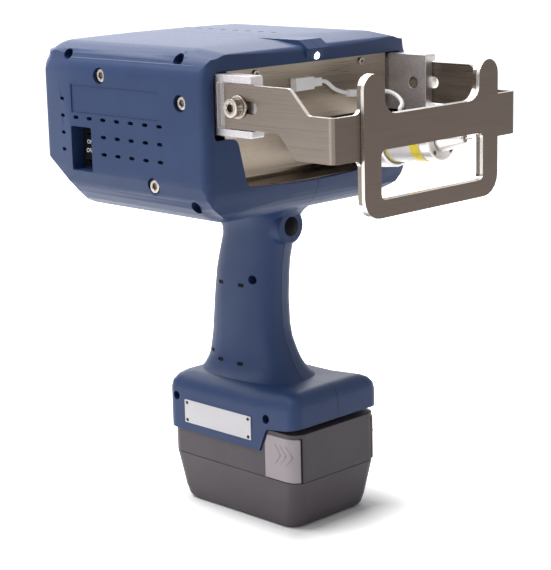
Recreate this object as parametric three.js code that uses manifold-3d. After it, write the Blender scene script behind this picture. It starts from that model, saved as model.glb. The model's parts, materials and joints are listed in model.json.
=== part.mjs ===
// Hand-held battery marking machine: a solenoid stylus behind a stand-off window, on a pistol grip.
// Millimetres, +Z up. The stylus points along -Y. The origin is the middle of the battery's underside.

import * as THREE from "three";
import { mergeVertices } from "three/addons/utils/BufferGeometryUtils.js";
import Module from "manifold-3d";

const wasm = await Module();
wasm.setup();

// Clearances, and how far a cutter runs past a face
const gap = 0.3;
const slip = 0.4;
const overrun = 5;

// Battery cases
const batteryHalfWidth = 44;
const batteryHalfLength = 67.8;
const batteryCornerRadius = 11;
const lowerCaseHeight = 37.3;
const upperCaseHeight = 36.5;
const footInsetAcross = 3;
const footInsetAlong = 5;
const caseWall = 2.5;

// Battery rails, cells and terminals
const railRise = 5;
const railHeight = 4.4;
const railDepth = 3.6;
const railFrontY = -25;
const railRearY = 60;
const cellRadius = 9.15;
const cellLength = 65;
const cellPitch = 18.8;
const cellRise = 18.7;
const cellHolderThickness = 1.5;
const terminalHalfWidth = 18;
const terminalFrontY = 26;
const terminalRearY = 58;
const terminalHeight = 7.6;
const terminalRecessFrontY = 20;
const bladeThickness = 0.8;
const bladeHeight = 3;
const bladeSpacing = 12;
const leafThickness = 0.8;
const harnessRadius = 3;
const harnessSlotHalf = 12;
const harnessSlotFrontY = 28;
const harnessSlotRearY = 48;
const harnessFrameY = 29;

// Battery latches
const latchRearY = -36;
const latchWrapX = 38.5;
const latchHeight = 33;
const latchThickness = 4.2;
const latchProud = 0.9;
const latchStepMargin = 1.8;
const latchTravel = 1.5;
const latchSpringRadius = 2.6;
const springWire = 0.4;

// Base of the housing
const baseHalfWidth = 45.5;
const baseHalfLength = 69.5;
const baseCornerRadius = 9;
const baseHeight = 26.6;
const baseShoulderRadius = 13;
const skirtDrop = 17.6;
const skirtStepY = -31;
const skirtStepSlant = 7.5;
const skirtStepRadius = 4;
const skirtWall = 3.2;
const wall = 3;

// Grip
const gripLength = 130.4;
const gripDepth = 65;
const gripWidth = 39;
const gripFrontY = -12;

// Head
const headHalfWidth = 105;
const headHeight = 124.1;
const headFrontY = -53;
const headRearY = 140;
const headBow = 5;
const headTopCrown = 1.6;
const headTopRadius = 12;
const headBottomRadius = 29;
const headFrontCorner = 7;
const headRearCorner = 12;
const headTaperLength = 42;
const headTaper = 8;
const headTopFrontRadius = 6;
const headBottomFrontRadius = 16;
const headTailRise = 25;
const headTailLength = 44;
const headTailRadius = 22;
const visorLength = 56;
const visorDrop = 4.6;

// Lamp ridge over the opening
const ridgeHalfWidth = 11;
const ridgeLength = 55;
const ridgeInset = 0.4;
const ridgeNose = 2.4;
const ridgeSlopeRun = 9;
const ridgeSlopeDrop = 5.9;
const ridgeChin = 7.7;
const lampRadius = 2.5;
const lampDrop = 11.7;
const lampLength = 12;

// Opening in the front of the head
const openingHalfWidth = 97;
const openingTopInset = 15.6;
const openingStepRise = 61.6;
const openingNeckHalfWidth = 77;
const openingFootHalfWidth = 69;
const openingFootRise = 23.7;
const openingLipCrown = 3;
const openingRadius = 6;
const openingTopRadius = 4;

// Stylus: distances along its axis are measured from the swing pivot
const stylusRise = 43.6;
const pivotY = -34.5;
const stylusHomeX = 47;
const swingHomeAngle = 6;
const solenoidRadius = 15.6;
const solenoidTailRadius = 12.6;
const solenoidTailStart = 9.2;
const solenoidShoulder = 25;
const solenoidFront = 85.4;
const capLength = 9;
const capChamfer = 1;
const nozzleLength = 20.5;
const nozzleRootRadius = 8.7;
const nozzleTipRadius = 3.9;
const nozzleCollar = 2.5;
const pinRadius = 0.9;
const pinProud = 7;
const pinTaper = 2;
const pinStroke = 5;
const plungerRadius = 5;
const plungerStart = 33;
const plungerFront = 72;
const returnSpringRadius = 5.4;
const leadEntryAt = 58;
const leadEntryRadius = 3;
const leadEntryHeight = 2.9;

// Holder ring and its swing
const holderRadius = 19;
const holderFront = 53;
const holderLength = 17;
const holderChamfer = 1.2;
const holderArmThickness = 3.2;
const holderArmHalfHeight = 7;
const journalRadius = 4;
const earThickness = 3.5;
const swingMotorRadius = 8.4;

// Slide along the width
const rodRadius = 4;
const upperRodY = -31;
const upperRodRise = 52;
const lowerRodY = -12;
const lowerRodRise = 34;
const screwY = 2;
const screwRise = 43;
const carriageHalfWidth = 22;
const carriageMargin = 9;
const carriageBottomRise = 26;
const xMotorHalf = 17;
const xMotorLength = 17;
const xMotorCorner = 4;

// Inner frame
const sidePlateOuter = 83.2;
const sidePlateThickness = 3.5;
const frameRearY = 70;
const frameFloorRise = 13.6;
const frameFloorThickness = 3;
const frameTopInset = 17.5;
const frameTieDepth = 3;
const frameTieHeight = 9;
const frameTabLength = 12;
const frameCorner = 6;
const frameWindowMargin = 12;
const coverPostRadius = 4;

// Front cover, one bent sheet
const coverThickness = 1.2;
const coverFaceY = -45.5;
const coverBackY = -18;
const coverFloorRise = 24.6;
const coverLedgeRise = 65.6;
const coverHeight = 107.6;
const coverHalfWidth = 81.5;
const coverBend = 10;
const yokeSlotHalfWidth = 75;
const yokeSlotFrontY = -43.6;
const yokeSlotRearY = -24.4;
const coverScrewX = 54;
const coverScrewDrop = 4;
const floorScrewX = 37;
const floorScrewY = -42.5;

// Slide blocks, stand-off bracket and contact plate
const blockOuter = 94.8;
const blockFrontY = -83;
const blockRearY = -17.5;
const blockHeight = 41.5;
const blockCorner = 1.5;
const channelDepth = 3.3;
const channelRearY = -50;
const channelSlack = 0.8;
const sheetThickness = 3;
const armHeight = 30;
const armRearY = -57;
const armStep = 16.6;
const armStepTopY = -118;
const armStepFrontY = -134.5;
const armStepBottomY = -107.5;
const armStepFootY = -123;
const armStepRadius = 5;
const bandRise = 11.4;
const bendRadius = 5;
const standoffFaceY = -160.3;
const contactPlateThickness = 2.7;
const plateHalfWidth = 69.5;
const plateFoot = 28.5;
const plateFootRadius = 15;
const windowHalfWidth = 53;
const windowHalfHeight = 16.6;
const windowRadius = 4;
const crossbarRise = 39.5;
const prongRise = 66.9;
const prongWidth = 20.6;
const saddleRadius = 11;
const bandFillet = 5;
const clampScrewY = -71;
const clampScrewRadius = 4;
const clampHeadRadius = 6.5;
const clampHeadLength = 6.5;
const clampSocketRadius = 3.6;
const clampSocketDepth = 3.5;
const washerRadius = 8;
const washerThickness = 1.6;
const slotFrontReach = 17.3;
const slotRearReach = 12.3;

// Trigger
const triggerDrop = 14.4;
const triggerFaceY = -26.2;
const triggerDome = 1.8;
const triggerRadius = 6.8;
const triggerLength = 9;
const triggerFlange = 1.6;
const triggerTravel = 3;
const triggerBossRadius = 13.5;
const triggerBossRoot = 17.5;
const triggerBossLength = 24;
const triggerBossSetback = 2;
const triggerBossEdge = 1.6;
const triggerSwitchDepth = 17;
const triggerSwitchHalfWidth = 8;
const triggerSwitchHalfHeight = 10;
const triggerSpringLength = 3.4;
const triggerSpringRadius = 4.5;

// Details of the head's sides and top
const insetDepth = 0.7;
const labelTopInset = 31;
const labelHeight = 20.5;
const labelFrontY = -3.6;
const labelRearY = 95.5;
const labelCorner = 5;
const ventLength = 6.4;
const ventHeight = 2.6;
const ventPitchAlong = 15.3;
const ventPitchUp = 12.5;
const ventFrontY = -1;
const ventTopInset = 55.1;
const ventColumnY = 108.5;
const topVentX = 28;
const topVentFrontY = 18;
const topVentPitch = 13.7;

// Power switch
const switchFrontY = 74;
const switchLength = 23;
const switchHeight = 32.6;
const switchTopInset = 61.7;
const switchDepth = 12;
const switchCornerRadius = 1.5;
const switchMargin = 2;
const switchBezelThickness = 2;
const switchBodyMargin = 4.5;
const switchBodyDepth = 13;
const switchRim = 2;
const rockerProud = 3.2;
const rockerDip = 1;
const rockerDepth = 4;
const rockerHalfLength = 9;
const rockerWellSlack = 1.4;
const rockerTilt = 7;

// Screws and screw holes
const screwHeadRadius = 4;
const screwHeadHeight = 2.8;
const screwShankRadius = 1.9;
const screwSocketRadius = 1.7;
const screwSocketDepth = 1.6;
const counterboreRadius = 5.2;
const counterboreDepth = 5;
const bossWall = 1.6;
const screwBite = 6;
const deepHoleRadius = 3.5;
const deepHoleDepth = 12;
const coverScrewHeadRadius = 2.8;
const coverScrewHeadHeight = 1.6;
const coverScrewShankRadius = 1.5;
const coverScrewLength = 6;
const seamBossRadius = 5.2;
const seamHoleDepth = 9;

// Rear panel and electronics
const displayHalfWidth = 34;
const displayHeight = 22;
const displayTopInset = 30;
const displayBezel = 4;
const displayModuleDepth = 7;
const displayModuleMargin = 3;
const keypadHalfWidth = 45;
const keypadHeight = 34;
const keypadDrop = 6;
const panelDepth = 1.4;
const panelThickness = 1.1;
const panelCorner = 2;
const boardThickness = 1.6;
const boardHalfWidth = 76;
const boardBottomRise = 21;
const boardHeight = 84;

// Lead from the cover to the stylus
const leadRadius = 1.5;
const sleeveRadius = 2.7;
const plugLeftX = -20;
const plugRightX = 7.7;
const plugHeight = 9;
const plugDepth = 6;
const plugRise = 49.5;
const plugNose = 9;

// Heights and faces that follow from the sizes above
const upperCaseBottomZ = lowerCaseHeight + gap;
const batteryTopZ = upperCaseBottomZ + upperCaseHeight;
const skirtTopZ = batteryTopZ + gap;
const skirtBottomZ = skirtTopZ - skirtDrop;
const baseTopZ = skirtTopZ + baseHeight;
const headBottomZ = baseTopZ + gripLength;
const headTopZ = headBottomZ + headHeight;
const stylusZ = headBottomZ + stylusRise;
const bandBottomZ = stylusZ + bandRise;
const bandTopZ = bandBottomZ + armHeight;
const armBottomZ = bandBottomZ + armStep;
const armTopZ = armBottomZ + armHeight;
const armMiddleZ = (armBottomZ + armTopZ) / 2;
const triggerZ = headBottomZ - triggerDrop;
const triggerSwitchFrontY =
  triggerFaceY + triggerLength + triggerTravel + gap + triggerSpringLength + gap;
const blockInner = sidePlateOuter + gap;
const sidePlateInner = sidePlateOuter - sidePlateThickness;
const screwZ = stylusZ + screwRise;
const upperRodZ = stylusZ + upperRodRise;
const lowerRodZ = stylusZ + lowerRodRise;
const frameFloorZ = headBottomZ + frameFloorRise;
const frameTopZ = headTopZ - frameTopInset;
const frameFrontY = coverFaceY + coverThickness + gap;
const coverFloorZ = headBottomZ + coverFloorRise;
const coverLedgeZ = headBottomZ + coverLedgeRise;
const coverTopZ = headBottomZ + coverHeight;
const capFront = solenoidFront + gap + capLength;
const nozzleFront = capFront + gap + nozzleLength;
const pinTip = nozzleFront + pinProud;
const holderArmInner = swingMotorRadius * 2 + gap;
const holderArmOuter = holderArmInner + holderArmThickness;
const earInner = holderArmOuter + slip;
const earOuter = earInner + earThickness;
const displayTopZ = headTopZ - displayTopInset;
const displayBottomZ = displayTopZ - displayHeight;
const keypadTopZ = displayBottomZ - keypadDrop;
const keypadBottomZ = keypadTopZ - keypadHeight;
const switchTopZ = headTopZ - switchTopInset;
const switchBottomZ = switchTopZ - switchHeight;
const switchMiddleZ = (switchTopZ + switchBottomZ) / 2;
const switchFaceX = -headHalfWidth + switchDepth;
const leadZ = stylusZ + plugRise;
const sheetFrontY = standoffFaceY + contactPlateThickness + gap;
const latchBottomZ = upperCaseBottomZ + gap;
const latchTopZ = latchBottomZ + latchHeight;
const latchMiddleY = (latchRearY - batteryHalfLength) / 2;
const latchMiddleZ = (latchBottomZ + latchTopZ) / 2;
const latchSpringX = batteryHalfWidth - latchThickness - latchTravel - gap;
const latchSpringLength = 3;
const bladeZ = batteryTopZ - terminalHeight + bladeHeight / 2;
const contactPlaces = [-bladeSpacing, 0, bladeSpacing];

// Places of screws and screw holes on the right side, as [y, z]
const headScrews = [
  [headFrontY + 30.3, armMiddleZ],
  [headFrontY + 116, headTopZ - 23.4],
  [headFrontY + 61.6, headBottomZ + 26],
];
const headDeepHoles = [
  [headFrontY + 36, headTopZ - 5.8],
  [headFrontY + 155, headTopZ - 7.6],
  [headFrontY + 23.4, headBottomZ + 12.9],
];
const baseHoles = [
  [baseHalfLength - 10.8, skirtTopZ + 7.9],
  [-baseHalfLength + 31, skirtTopZ + 7.6],
];
const gripHole = [gripFrontY + 12.6, baseTopZ + 75.3];
const coverScrewPlaces = [-1, 1].map((side) => [side * coverScrewX, coverTopZ - coverScrewDrop]);
const floorScrewPlaces = [-1, 1].map((side) => [side * floorScrewX, floorScrewY]);

// Route of the power harness up the grip
const harnessRoute = [
  [0, 38, baseTopZ - baseHeight / 2 - 2 * harnessRadius],
  [0, 38, baseTopZ],
  [0, 36, baseTopZ + gripLength / 3],
  [0, harnessFrameY, headBottomZ - gripLength / 4],
  [0, harnessFrameY, headBottomZ + frameFloorRise / 2],
  [0, harnessFrameY, frameFloorZ + harnessRadius],
  [0, harnessFrameY, frameFloorZ + 3 * harnessRadius],
  [0, 42, frameFloorZ + 7 * harnessRadius],
  [0, 66, frameFloorZ + 8 * harnessRadius],
].map((p) => new THREE.Vector3(...p));

const materials = {
  housing: { color: 0x33486d, roughness: 0.62, metalness: 0 },
  batteryGrey: { color: 0x514e53, roughness: 0.55, metalness: 0 },
  latchGrey: { color: 0x979197, roughness: 0.5, metalness: 0 },
  brushedSteel: { color: 0x958c82, roughness: 0.35, metalness: 1 },
  brightSteel: { color: 0xc9c7c4, roughness: 0.25, metalness: 1 },
  aluminium: { color: 0xa9abb2, roughness: 0.45, metalness: 1 },
  white: { color: 0xe9e7e6, roughness: 0.5, metalness: 0 },
  black: { color: 0x17181b, roughness: 0.5, metalness: 0 },
  board: { color: 0x1f5a3a, roughness: 0.6, metalness: 0 },
  copper: { color: 0xb98a4e, roughness: 0.35, metalness: 1 },
  cell: { color: 0x3b7a57, roughness: 0.45, metalness: 0 },
  lens: { color: 0x20262b, roughness: 0.1, metalness: 0 },
  lamp: { color: 0xf4f6ff, roughness: 0.1, metalness: 0 },
};

// Solids from three.js geometry, joined and cut

function signedVolume(points, index) {
  let sum = 0;
  const corner = [new THREE.Vector3(), new THREE.Vector3(), new THREE.Vector3()];
  for (let i = 0; i < index.length; i += 3) {
    corner.forEach((p, k) => p.fromArray(points, 3 * index[i + k]));
    sum += corner[0].dot(corner[1].clone().cross(corner[2]));
  }
  return sum / 6;
}

function solidOf(geometry) {
  const bare = geometry.clone();
  bare.deleteAttribute("normal");
  bare.deleteAttribute("uv");
  const merged = mergeVertices(bare, 1e-4);
  const points = merged.attributes.position.array;
  const index = new Uint32Array(merged.index.array);
  if (signedVolume(points, index) < 0) {
    index.reverse();
  }
  return new wasm.Manifold(new wasm.Mesh({ numProp: 3, vertProperties: points, triVerts: index }));
}

function geometryOf(solid) {
  const mesh = solid.getMesh();
  const geometry = new THREE.BufferGeometry();
  geometry.setAttribute("position", new THREE.BufferAttribute(mesh.vertProperties, mesh.numProp));
  geometry.setIndex(new THREE.BufferAttribute(mesh.triVerts, 1));
  geometry.computeVertexNormals();
  return geometry;
}

const join = (solids) => solids.reduce((sum, next) => sum.add(next));
const cut = (solid, cutters) => cutters.reduce((left, next) => left.subtract(next), solid);

function box(x0, x1, y0, y1, z0, z1) {
  const geometry = new THREE.BoxGeometry(Math.abs(x1 - x0), y1 - y0, z1 - z0);
  geometry.translate((x0 + x1) / 2, (y0 + y1) / 2, (z0 + z1) / 2);
  return solidOf(geometry);
}

// An outline from corners [u, v, radius], each rounded by its own arc
function outline(corners, arcStep = 18) {
  const points = [];
  corners.forEach(([u, v, radius = 0], i) => {
    const here = new THREE.Vector2(u, v);
    if (radius <= 0) {
      points.push(here);
      return;
    }
    const [previousU, previousV] = corners[(i + corners.length - 1) % corners.length];
    const [nextU, nextV] = corners[(i + 1) % corners.length];
    const toPrevious = new THREE.Vector2(previousU, previousV).sub(here);
    const toNext = new THREE.Vector2(nextU, nextV).sub(here);
    const room = 0.499 * Math.min(toPrevious.length(), toNext.length());
    toPrevious.normalize();
    toNext.normalize();
    const half = Math.acos(THREE.MathUtils.clamp(toPrevious.dot(toNext), -1, 1)) / 2;
    const reach = Math.min(radius / Math.tan(half), room);
    const bisector = toPrevious.clone().add(toNext).normalize();
    const centre = here.clone().addScaledVector(bisector, reach / Math.cos(half));
    const start = here.clone().addScaledVector(toPrevious, reach).sub(centre);
    const turn = Math.PI - 2 * half;
    const side = Math.sign(toPrevious.cross(toNext));
    const count = Math.max(1, Math.round(THREE.MathUtils.radToDeg(turn) / arcStep));
    for (let k = 0; k <= count; k++) {
      const angle = (-side * turn * k) / count;
      points.push(start.clone().rotateAround(new THREE.Vector2(), angle).add(centre));
    }
  });
  return new THREE.Shape(points);
}

// Extrusions: the outline lies in YZ, XZ or XY and runs between two places on the third axis
function alongX(shape, a, b) {
  const geometry = new THREE.ExtrudeGeometry(shape, { depth: Math.abs(b - a), bevelEnabled: false });
  const toYZ = new THREE.Matrix4().set(0, 0, 1, Math.min(a, b), 1, 0, 0, 0, 0, 1, 0, 0, 0, 0, 0, 1);
  return solidOf(geometry.applyMatrix4(toYZ));
}

function alongY(shape, y0, y1) {
  const geometry = new THREE.ExtrudeGeometry(shape, { depth: y1 - y0, bevelEnabled: false });
  geometry.rotateX(Math.PI / 2);
  geometry.translate(0, y1, 0);
  return solidOf(geometry);
}

function alongZ(shape, z0, z1) {
  const geometry = new THREE.ExtrudeGeometry(shape, { depth: z1 - z0, bevelEnabled: false });
  geometry.translate(0, 0, z0);
  return solidOf(geometry);
}

const roundedBox = (u0, u1, v0, v1, radius, arcStep) =>
  outline(
    [
      [u0, v0, radius],
      [u1, v0, radius],
      [u1, v1, radius],
      [u0, v1, radius],
    ],
    arcStep,
  );

function disc(u, v, radius, sides = 16) {
  const points = Array.from({ length: sides }, (_, i) => {
    const angle = (2 * Math.PI * i) / sides;
    return new THREE.Vector2(u + radius * Math.cos(angle), v + radius * Math.sin(angle));
  });
  return new THREE.Shape(points);
}

// A short rounded slot lying along u
const slotShape = (u, v, length, height) =>
  roundedBox(u - length / 2, u + length / 2, v - height / 2, v + height / 2, height / 2, 90);

// A turned solid about an axis along Y through (x, z), with profile points [radius, y]
function turned(profile, x, z, sides = 24) {
  const points = profile.map(([radius, y]) => new THREE.Vector2(radius, y));
  const geometry = new THREE.LatheGeometry(points, sides);
  geometry.translate(x, 0, z);
  return solidOf(geometry);
}

// A closed skin through rings of points
function loft(rings) {
  const count = rings[0].length;
  const lastRing = (rings.length - 1) * count;
  const index = [];
  for (let r = 0; r + 1 < rings.length; r++) {
    for (let i = 0; i < count; i++) {
      const a = r * count + i;
      const b = r * count + ((i + 1) % count);
      index.push(a, b, b + count, a, b + count, a + count);
    }
  }
  for (let i = 1; i + 1 < count; i++) {
    index.push(0, i + 1, i);
    index.push(lastRing, lastRing + i, lastRing + i + 1);
  }
  const geometry = new THREE.BufferGeometry();
  geometry.setFromPoints(rings.flat());
  geometry.setIndex(index);
  return solidOf(geometry);
}

// One unbroken coil of round wire about a line from start to end
function coil(start, end, radius, turns) {
  const stepsPerTurn = 8;
  const wireSides = 5;
  const axis = end.clone().sub(start);
  const length = axis.length();
  axis.normalize();
  const across = new THREE.Vector3(0, 0, 1).cross(axis).normalize();
  const up = axis.clone().cross(across);
  const total = Math.round(turns * stepsPerTurn);
  const pitch = (length - 2 * springWire) / turns;
  console.log("coil, least gap between turns", (pitch - 2 * springWire).toFixed(2), "mm");
  const rings = Array.from({ length: total + 1 }, (_, i) => {
    const angle = (2 * Math.PI * i) / stepsPerTurn;
    const outward = across.clone().multiplyScalar(Math.cos(angle)).addScaledVector(up, Math.sin(angle));
    const centre = start.clone().addScaledVector(axis, springWire + ((length - 2 * springWire) * i) / total);
    centre.addScaledVector(outward, radius - springWire);
    return Array.from({ length: wireSides }, (_, k) => {
      const around = (2 * Math.PI * k) / wireSides;
      return centre
        .clone()
        .addScaledVector(outward, springWire * Math.cos(around))
        .addScaledVector(axis, springWire * Math.sin(around));
    });
  });
  return loft(rings);
}

// A tube along a smooth route, with an optional bore
function tube(route, radius, bore, steps) {
  const section = disc(0, 0, radius, 8);
  if (bore > 0) {
    section.holes.push(disc(0, 0, bore, 8));
  }
  const path = new THREE.CatmullRomCurve3(route, false, "centripetal");
  return solidOf(new THREE.ExtrudeGeometry(section, { steps, extrudePath: path, bevelEnabled: false }));
}

const part = new THREE.Group();

function piece(name, solid, material, parent = part) {
  const mesh = new THREE.Mesh(geometryOf(solid), new THREE.MeshStandardMaterial(materials[material]));
  mesh.name = name;
  parent.add(mesh);
}

// Head: outlines seen from above, from the side and from the front meet in one solid
function headBody(inset) {
  const half = headHalfWidth - inset;
  const front = headFrontY + inset;
  const rear = headRearY - inset;
  const bottom = headBottomZ + inset;
  const top = headTopZ - inset;
  const bowAt = (x) => front + headBow * (x / headHalfWidth) ** 2;
  const arcStep = inset > insetDepth ? 45 : 18;
  const bowShares = inset > insetDepth ? [-0.5, 0.5] : [-0.6, -0.2, 0.2, 0.6];
  const crownShares = [...bowShares].reverse();
  const cornersOf = (corners) => outline(corners, arcStep);
  const plan = cornersOf([
    [-half, bowAt(half), headFrontCorner],
    ...bowShares.map((share) => [share * half, bowAt(share * half)]),
    [half, bowAt(half), headFrontCorner],
    [half, headRearY - headTaperLength],
    [half - headTaper, rear, headRearCorner],
    [-half + headTaper, rear, headRearCorner],
    [-half, headRearY - headTaperLength],
  ]);
  const visorMiddleShare = 0.3;
  const side = cornersOf([
    [front, bottom, headBottomFrontRadius],
    [headRearY - headTailLength, bottom, headTailRadius],
    [rear, bottom + headTailRise, headRearCorner],
    [rear, top, headRearCorner / 2],
    [headFrontY + visorLength, top],
    [headFrontY + visorLength / 2, top - visorDrop * visorMiddleShare],
    [front, top - visorDrop, headTopFrontRadius],
  ]);
  const section = cornersOf([
    [-half, bottom, headBottomRadius],
    [half, bottom, headBottomRadius],
    [half, top - headTopCrown, headTopRadius],
    ...crownShares.map((share) => [share * half, top - headTopCrown * share ** 2]),
    [-half, top - headTopCrown, headTopRadius],
  ]);
  return alongZ(plan, headBottomZ - overrun, headTopZ + overrun)
    .intersect(alongX(side, -headHalfWidth - overrun, headHalfWidth + overrun))
    .intersect(alongY(section, headFrontY - overrun, headRearY + overrun));
}

// The lamp ridge stays level while the visor falls away below it
function lampRidge() {
  const top = headTopZ - ridgeInset;
  const chin = top - ridgeSlopeDrop - ridgeChin;
  const side = outline([
    [headFrontY + ridgeLength, chin],
    [headFrontY + ridgeInset, chin],
    [headFrontY - ridgeNose, top - ridgeSlopeDrop, ridgeInset],
    [headFrontY - ridgeNose + ridgeSlopeRun, top, ridgeInset],
    [headFrontY + ridgeLength, top],
  ]);
  return alongX(side, -ridgeHalfWidth, ridgeHalfWidth);
}

// Grip: rounded sections up its length, as shares of its length, depth and width
function gripBody(inset) {
  const stationShares = [
    [-0.03, -0.34, 1.17, 0.87],
    [0, -0.32, 1.14, 0.79],
    [0.023, -0.28, 1.12, 0.7],
    [0.054, -0.22, 1.09, 0.63],
    [0.092, -0.17, 1.07, 0.57],
    [0.146, -0.115, 1.055, 0.53],
    [0.222, -0.046, 1.03, 0.503],
    [0.3, -0.012, 1.012, 0.5],
    [0.45, 0.004, 0.974, 0.5],
    [0.6, -0.012, 0.926, 0.5],
    [0.683, -0.03, 0.88, 0.5],
    [0.759, -0.064, 0.83, 0.508],
    [0.82, -0.095, 0.794, 0.518],
    [0.859, -0.115, 0.794, 0.528],
    [0.897, -0.138, 0.838, 0.551],
    [0.936, -0.177, 0.915, 0.603],
    [0.97, -0.223, 1.015, 0.68],
    [1, -0.29, 1.14, 0.82],
    [1.035, -0.34, 1.24, 0.98],
  ];
  const sides = inset > insetDepth ? 12 : 24;
  const roundness = 0.74;
  const everyOther = (_, i) => inset <= insetDepth || i % 2 === 0;
  const rings = stationShares.filter(everyOther).map(([rise, front, rear, half]) => {
    const y0 = gripFrontY + front * gripDepth + inset;
    const y1 = gripFrontY + rear * gripDepth - inset;
    const halfWidth = half * gripWidth - inset;
    return Array.from({ length: sides }, (_, i) => {
      const angle = (2 * Math.PI * i) / sides;
      const c = Math.cos(angle);
      const s = Math.sin(angle);
      const x = halfWidth * Math.sign(c) * Math.abs(c) ** roundness;
      const y = (y0 + y1) / 2 + ((y1 - y0) / 2) * Math.sign(s) * Math.abs(s) ** roundness;
      return new THREE.Vector3(x, y, baseTopZ + rise * gripLength);
    });
  });
  return loft(rings);
}

// A rounded rectangle of points at one height
function roundedRing(halfWidth, y0, y1, radius, z) {
  const perCorner = 4;
  const centres = [
    [halfWidth - radius, y1 - radius],
    [-halfWidth + radius, y1 - radius],
    [-halfWidth + radius, y0 + radius],
    [halfWidth - radius, y0 + radius],
  ];
  return centres.flatMap(([cx, cy], corner) =>
    Array.from({ length: perCorner + 1 }, (_, k) => {
      const angle = (Math.PI / 2) * (corner + k / perCorner);
      return new THREE.Vector3(cx + radius * Math.cos(angle), cy + radius * Math.sin(angle), z);
    }),
  );
}

// Base: straight sides that round over into a flat shoulder
function baseBody(inset, bottomZ) {
  const shoulder = baseShoulderRadius - inset;
  const ringAt = (draw, z) =>
    roundedRing(baseHalfWidth - draw, -baseHalfLength + draw, baseHalfLength - draw, baseCornerRadius, z);
  const steps = 4;
  const shoulderRings = Array.from({ length: steps + 1 }, (_, k) => {
    const angle = (Math.PI / 2) * (k / steps);
    const draw = inset + shoulder * (1 - Math.cos(angle));
    return ringAt(draw, baseTopZ - inset - shoulder * (1 - Math.sin(angle)));
  });
  return loft([ringAt(inset, bottomZ), ...shoulderRings]);
}

// Everything in front of the slanted step in the skirt, where the battery's front block stands clear
function frontOfStep(bottomZ, topZ, shift) {
  const front = -baseHalfLength - 2 * overrun;
  return alongX(
    outline([
      [front, bottomZ],
      [skirtStepY + shift, bottomZ],
      [skirtStepY + shift, skirtBottomZ],
      [skirtStepY + shift - skirtStepSlant, topZ, skirtStepRadius],
      [front, topZ],
    ]),
    -baseHalfWidth - overrun,
    baseHalfWidth + overrun,
  );
}

function triggerBoss() {
  const front = triggerFaceY + triggerBossSetback;
  const profile = [
    [0, front],
    [triggerBossRadius - triggerBossEdge, front],
    [triggerBossRadius, front + triggerBossEdge],
    [triggerBossRadius, front + 2 * triggerBossEdge],
    [triggerBossRoot, front + triggerBossLength],
    [0, front + triggerBossLength],
  ];
  return turned(profile, 0, triggerZ);
}

function openingCutter() {
  const top = headTopZ - openingTopInset;
  const step = headBottomZ + openingStepRise;
  const foot = headBottomZ + openingFootRise;
  const lipShares = [-0.5, 0, 0.5];
  const lipAt = (share) => foot + openingLipCrown * share ** 2;
  const shape = outline([
    [-openingFootHalfWidth, lipAt(1), openingRadius],
    ...lipShares.map((share) => [share * openingFootHalfWidth, lipAt(share)]),
    [openingFootHalfWidth, lipAt(1), openingRadius],
    [openingNeckHalfWidth, step, openingRadius],
    [openingHalfWidth, step, openingRadius / 2],
    [openingHalfWidth, top, openingTopRadius],
    [-openingHalfWidth, top, openingTopRadius],
    [-openingHalfWidth, step, openingRadius / 2],
    [-openingNeckHalfWidth, step, openingRadius],
  ]);
  return alongY(shape, headFrontY - overrun, headFrontY + headBow + headFrontCorner + wall);
}

// A recess in the rear face
function rearRecess(half, z0, z1) {
  const shape = roundedBox(-half - gap, half + gap, z0 - gap, z1 + gap, panelCorner);
  return alongY(shape, headRearY - panelDepth, headRearY + overrun);
}

function triggerBore() {
  const flangeY = triggerFaceY + triggerLength - triggerFlange - gap;
  return join([
    alongY(disc(0, triggerZ, triggerRadius + slip, 24), triggerFaceY - overrun, flangeY + gap),
    alongY(disc(0, triggerZ, triggerRadius + triggerFlange + slip, 24), flangeY, flangeY + triggerBossLength / 2),
  ]);
}

// Both halves of the housing start as one hollow body
function housingBody() {
  const outer = join([
    headBody(0),
    lampRidge(),
    gripBody(0),
    triggerBoss(),
    baseBody(0, skirtBottomZ),
  ]);
  const bayHalf = baseHalfWidth - skirtWall;
  const bayRear = baseHalfLength - skirtWall;
  const bayAt = (z) =>
    roundedRing(bayHalf, -baseHalfLength - 3 * overrun, bayRear, baseCornerRadius - skirtWall, z);
  const hollow = join([headBody(wall), gripBody(wall), baseBody(wall, skirtTopZ + wall)]);
  const rails = [-1, 1].map((side) =>
    box(
      side * (bayHalf + skirtWall / 2),
      side * (bayHalf - railDepth),
      railFrontY,
      railRearY,
      skirtBottomZ + railRise,
      skirtBottomZ + railRise + railHeight,
    ),
  );
  const open = cut(outer, [
    hollow,
    loft([bayAt(skirtBottomZ - overrun), bayAt(skirtTopZ)]),
    frontOfStep(skirtBottomZ - overrun, skirtTopZ, 0),
    openingCutter(),
  ]);
  const displayHalf = displayHalfWidth - displayBezel;
  return cut(join([open, ...rails]), [
    triggerBore(),
    alongY(disc(0, headTopZ - lampDrop, lampRadius + gap, 16), headFrontY - overrun, headFrontY + 2 * wall),
    box(
      -harnessSlotHalf - gap,
      harnessSlotHalf + gap,
      harnessSlotFrontY - gap,
      harnessSlotRearY + gap,
      skirtTopZ - overrun,
      skirtTopZ + wall + gap,
    ),
    rearRecess(displayHalfWidth, displayBottomZ, displayTopZ),
    rearRecess(keypadHalfWidth, keypadBottomZ, keypadTopZ),
    box(
      -displayHalf - gap,
      displayHalf + gap,
      headRearY - wall - overrun,
      headRearY,
      displayBottomZ + displayBezel - gap,
      displayTopZ - displayBezel + gap,
    ),
  ]);
}

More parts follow.
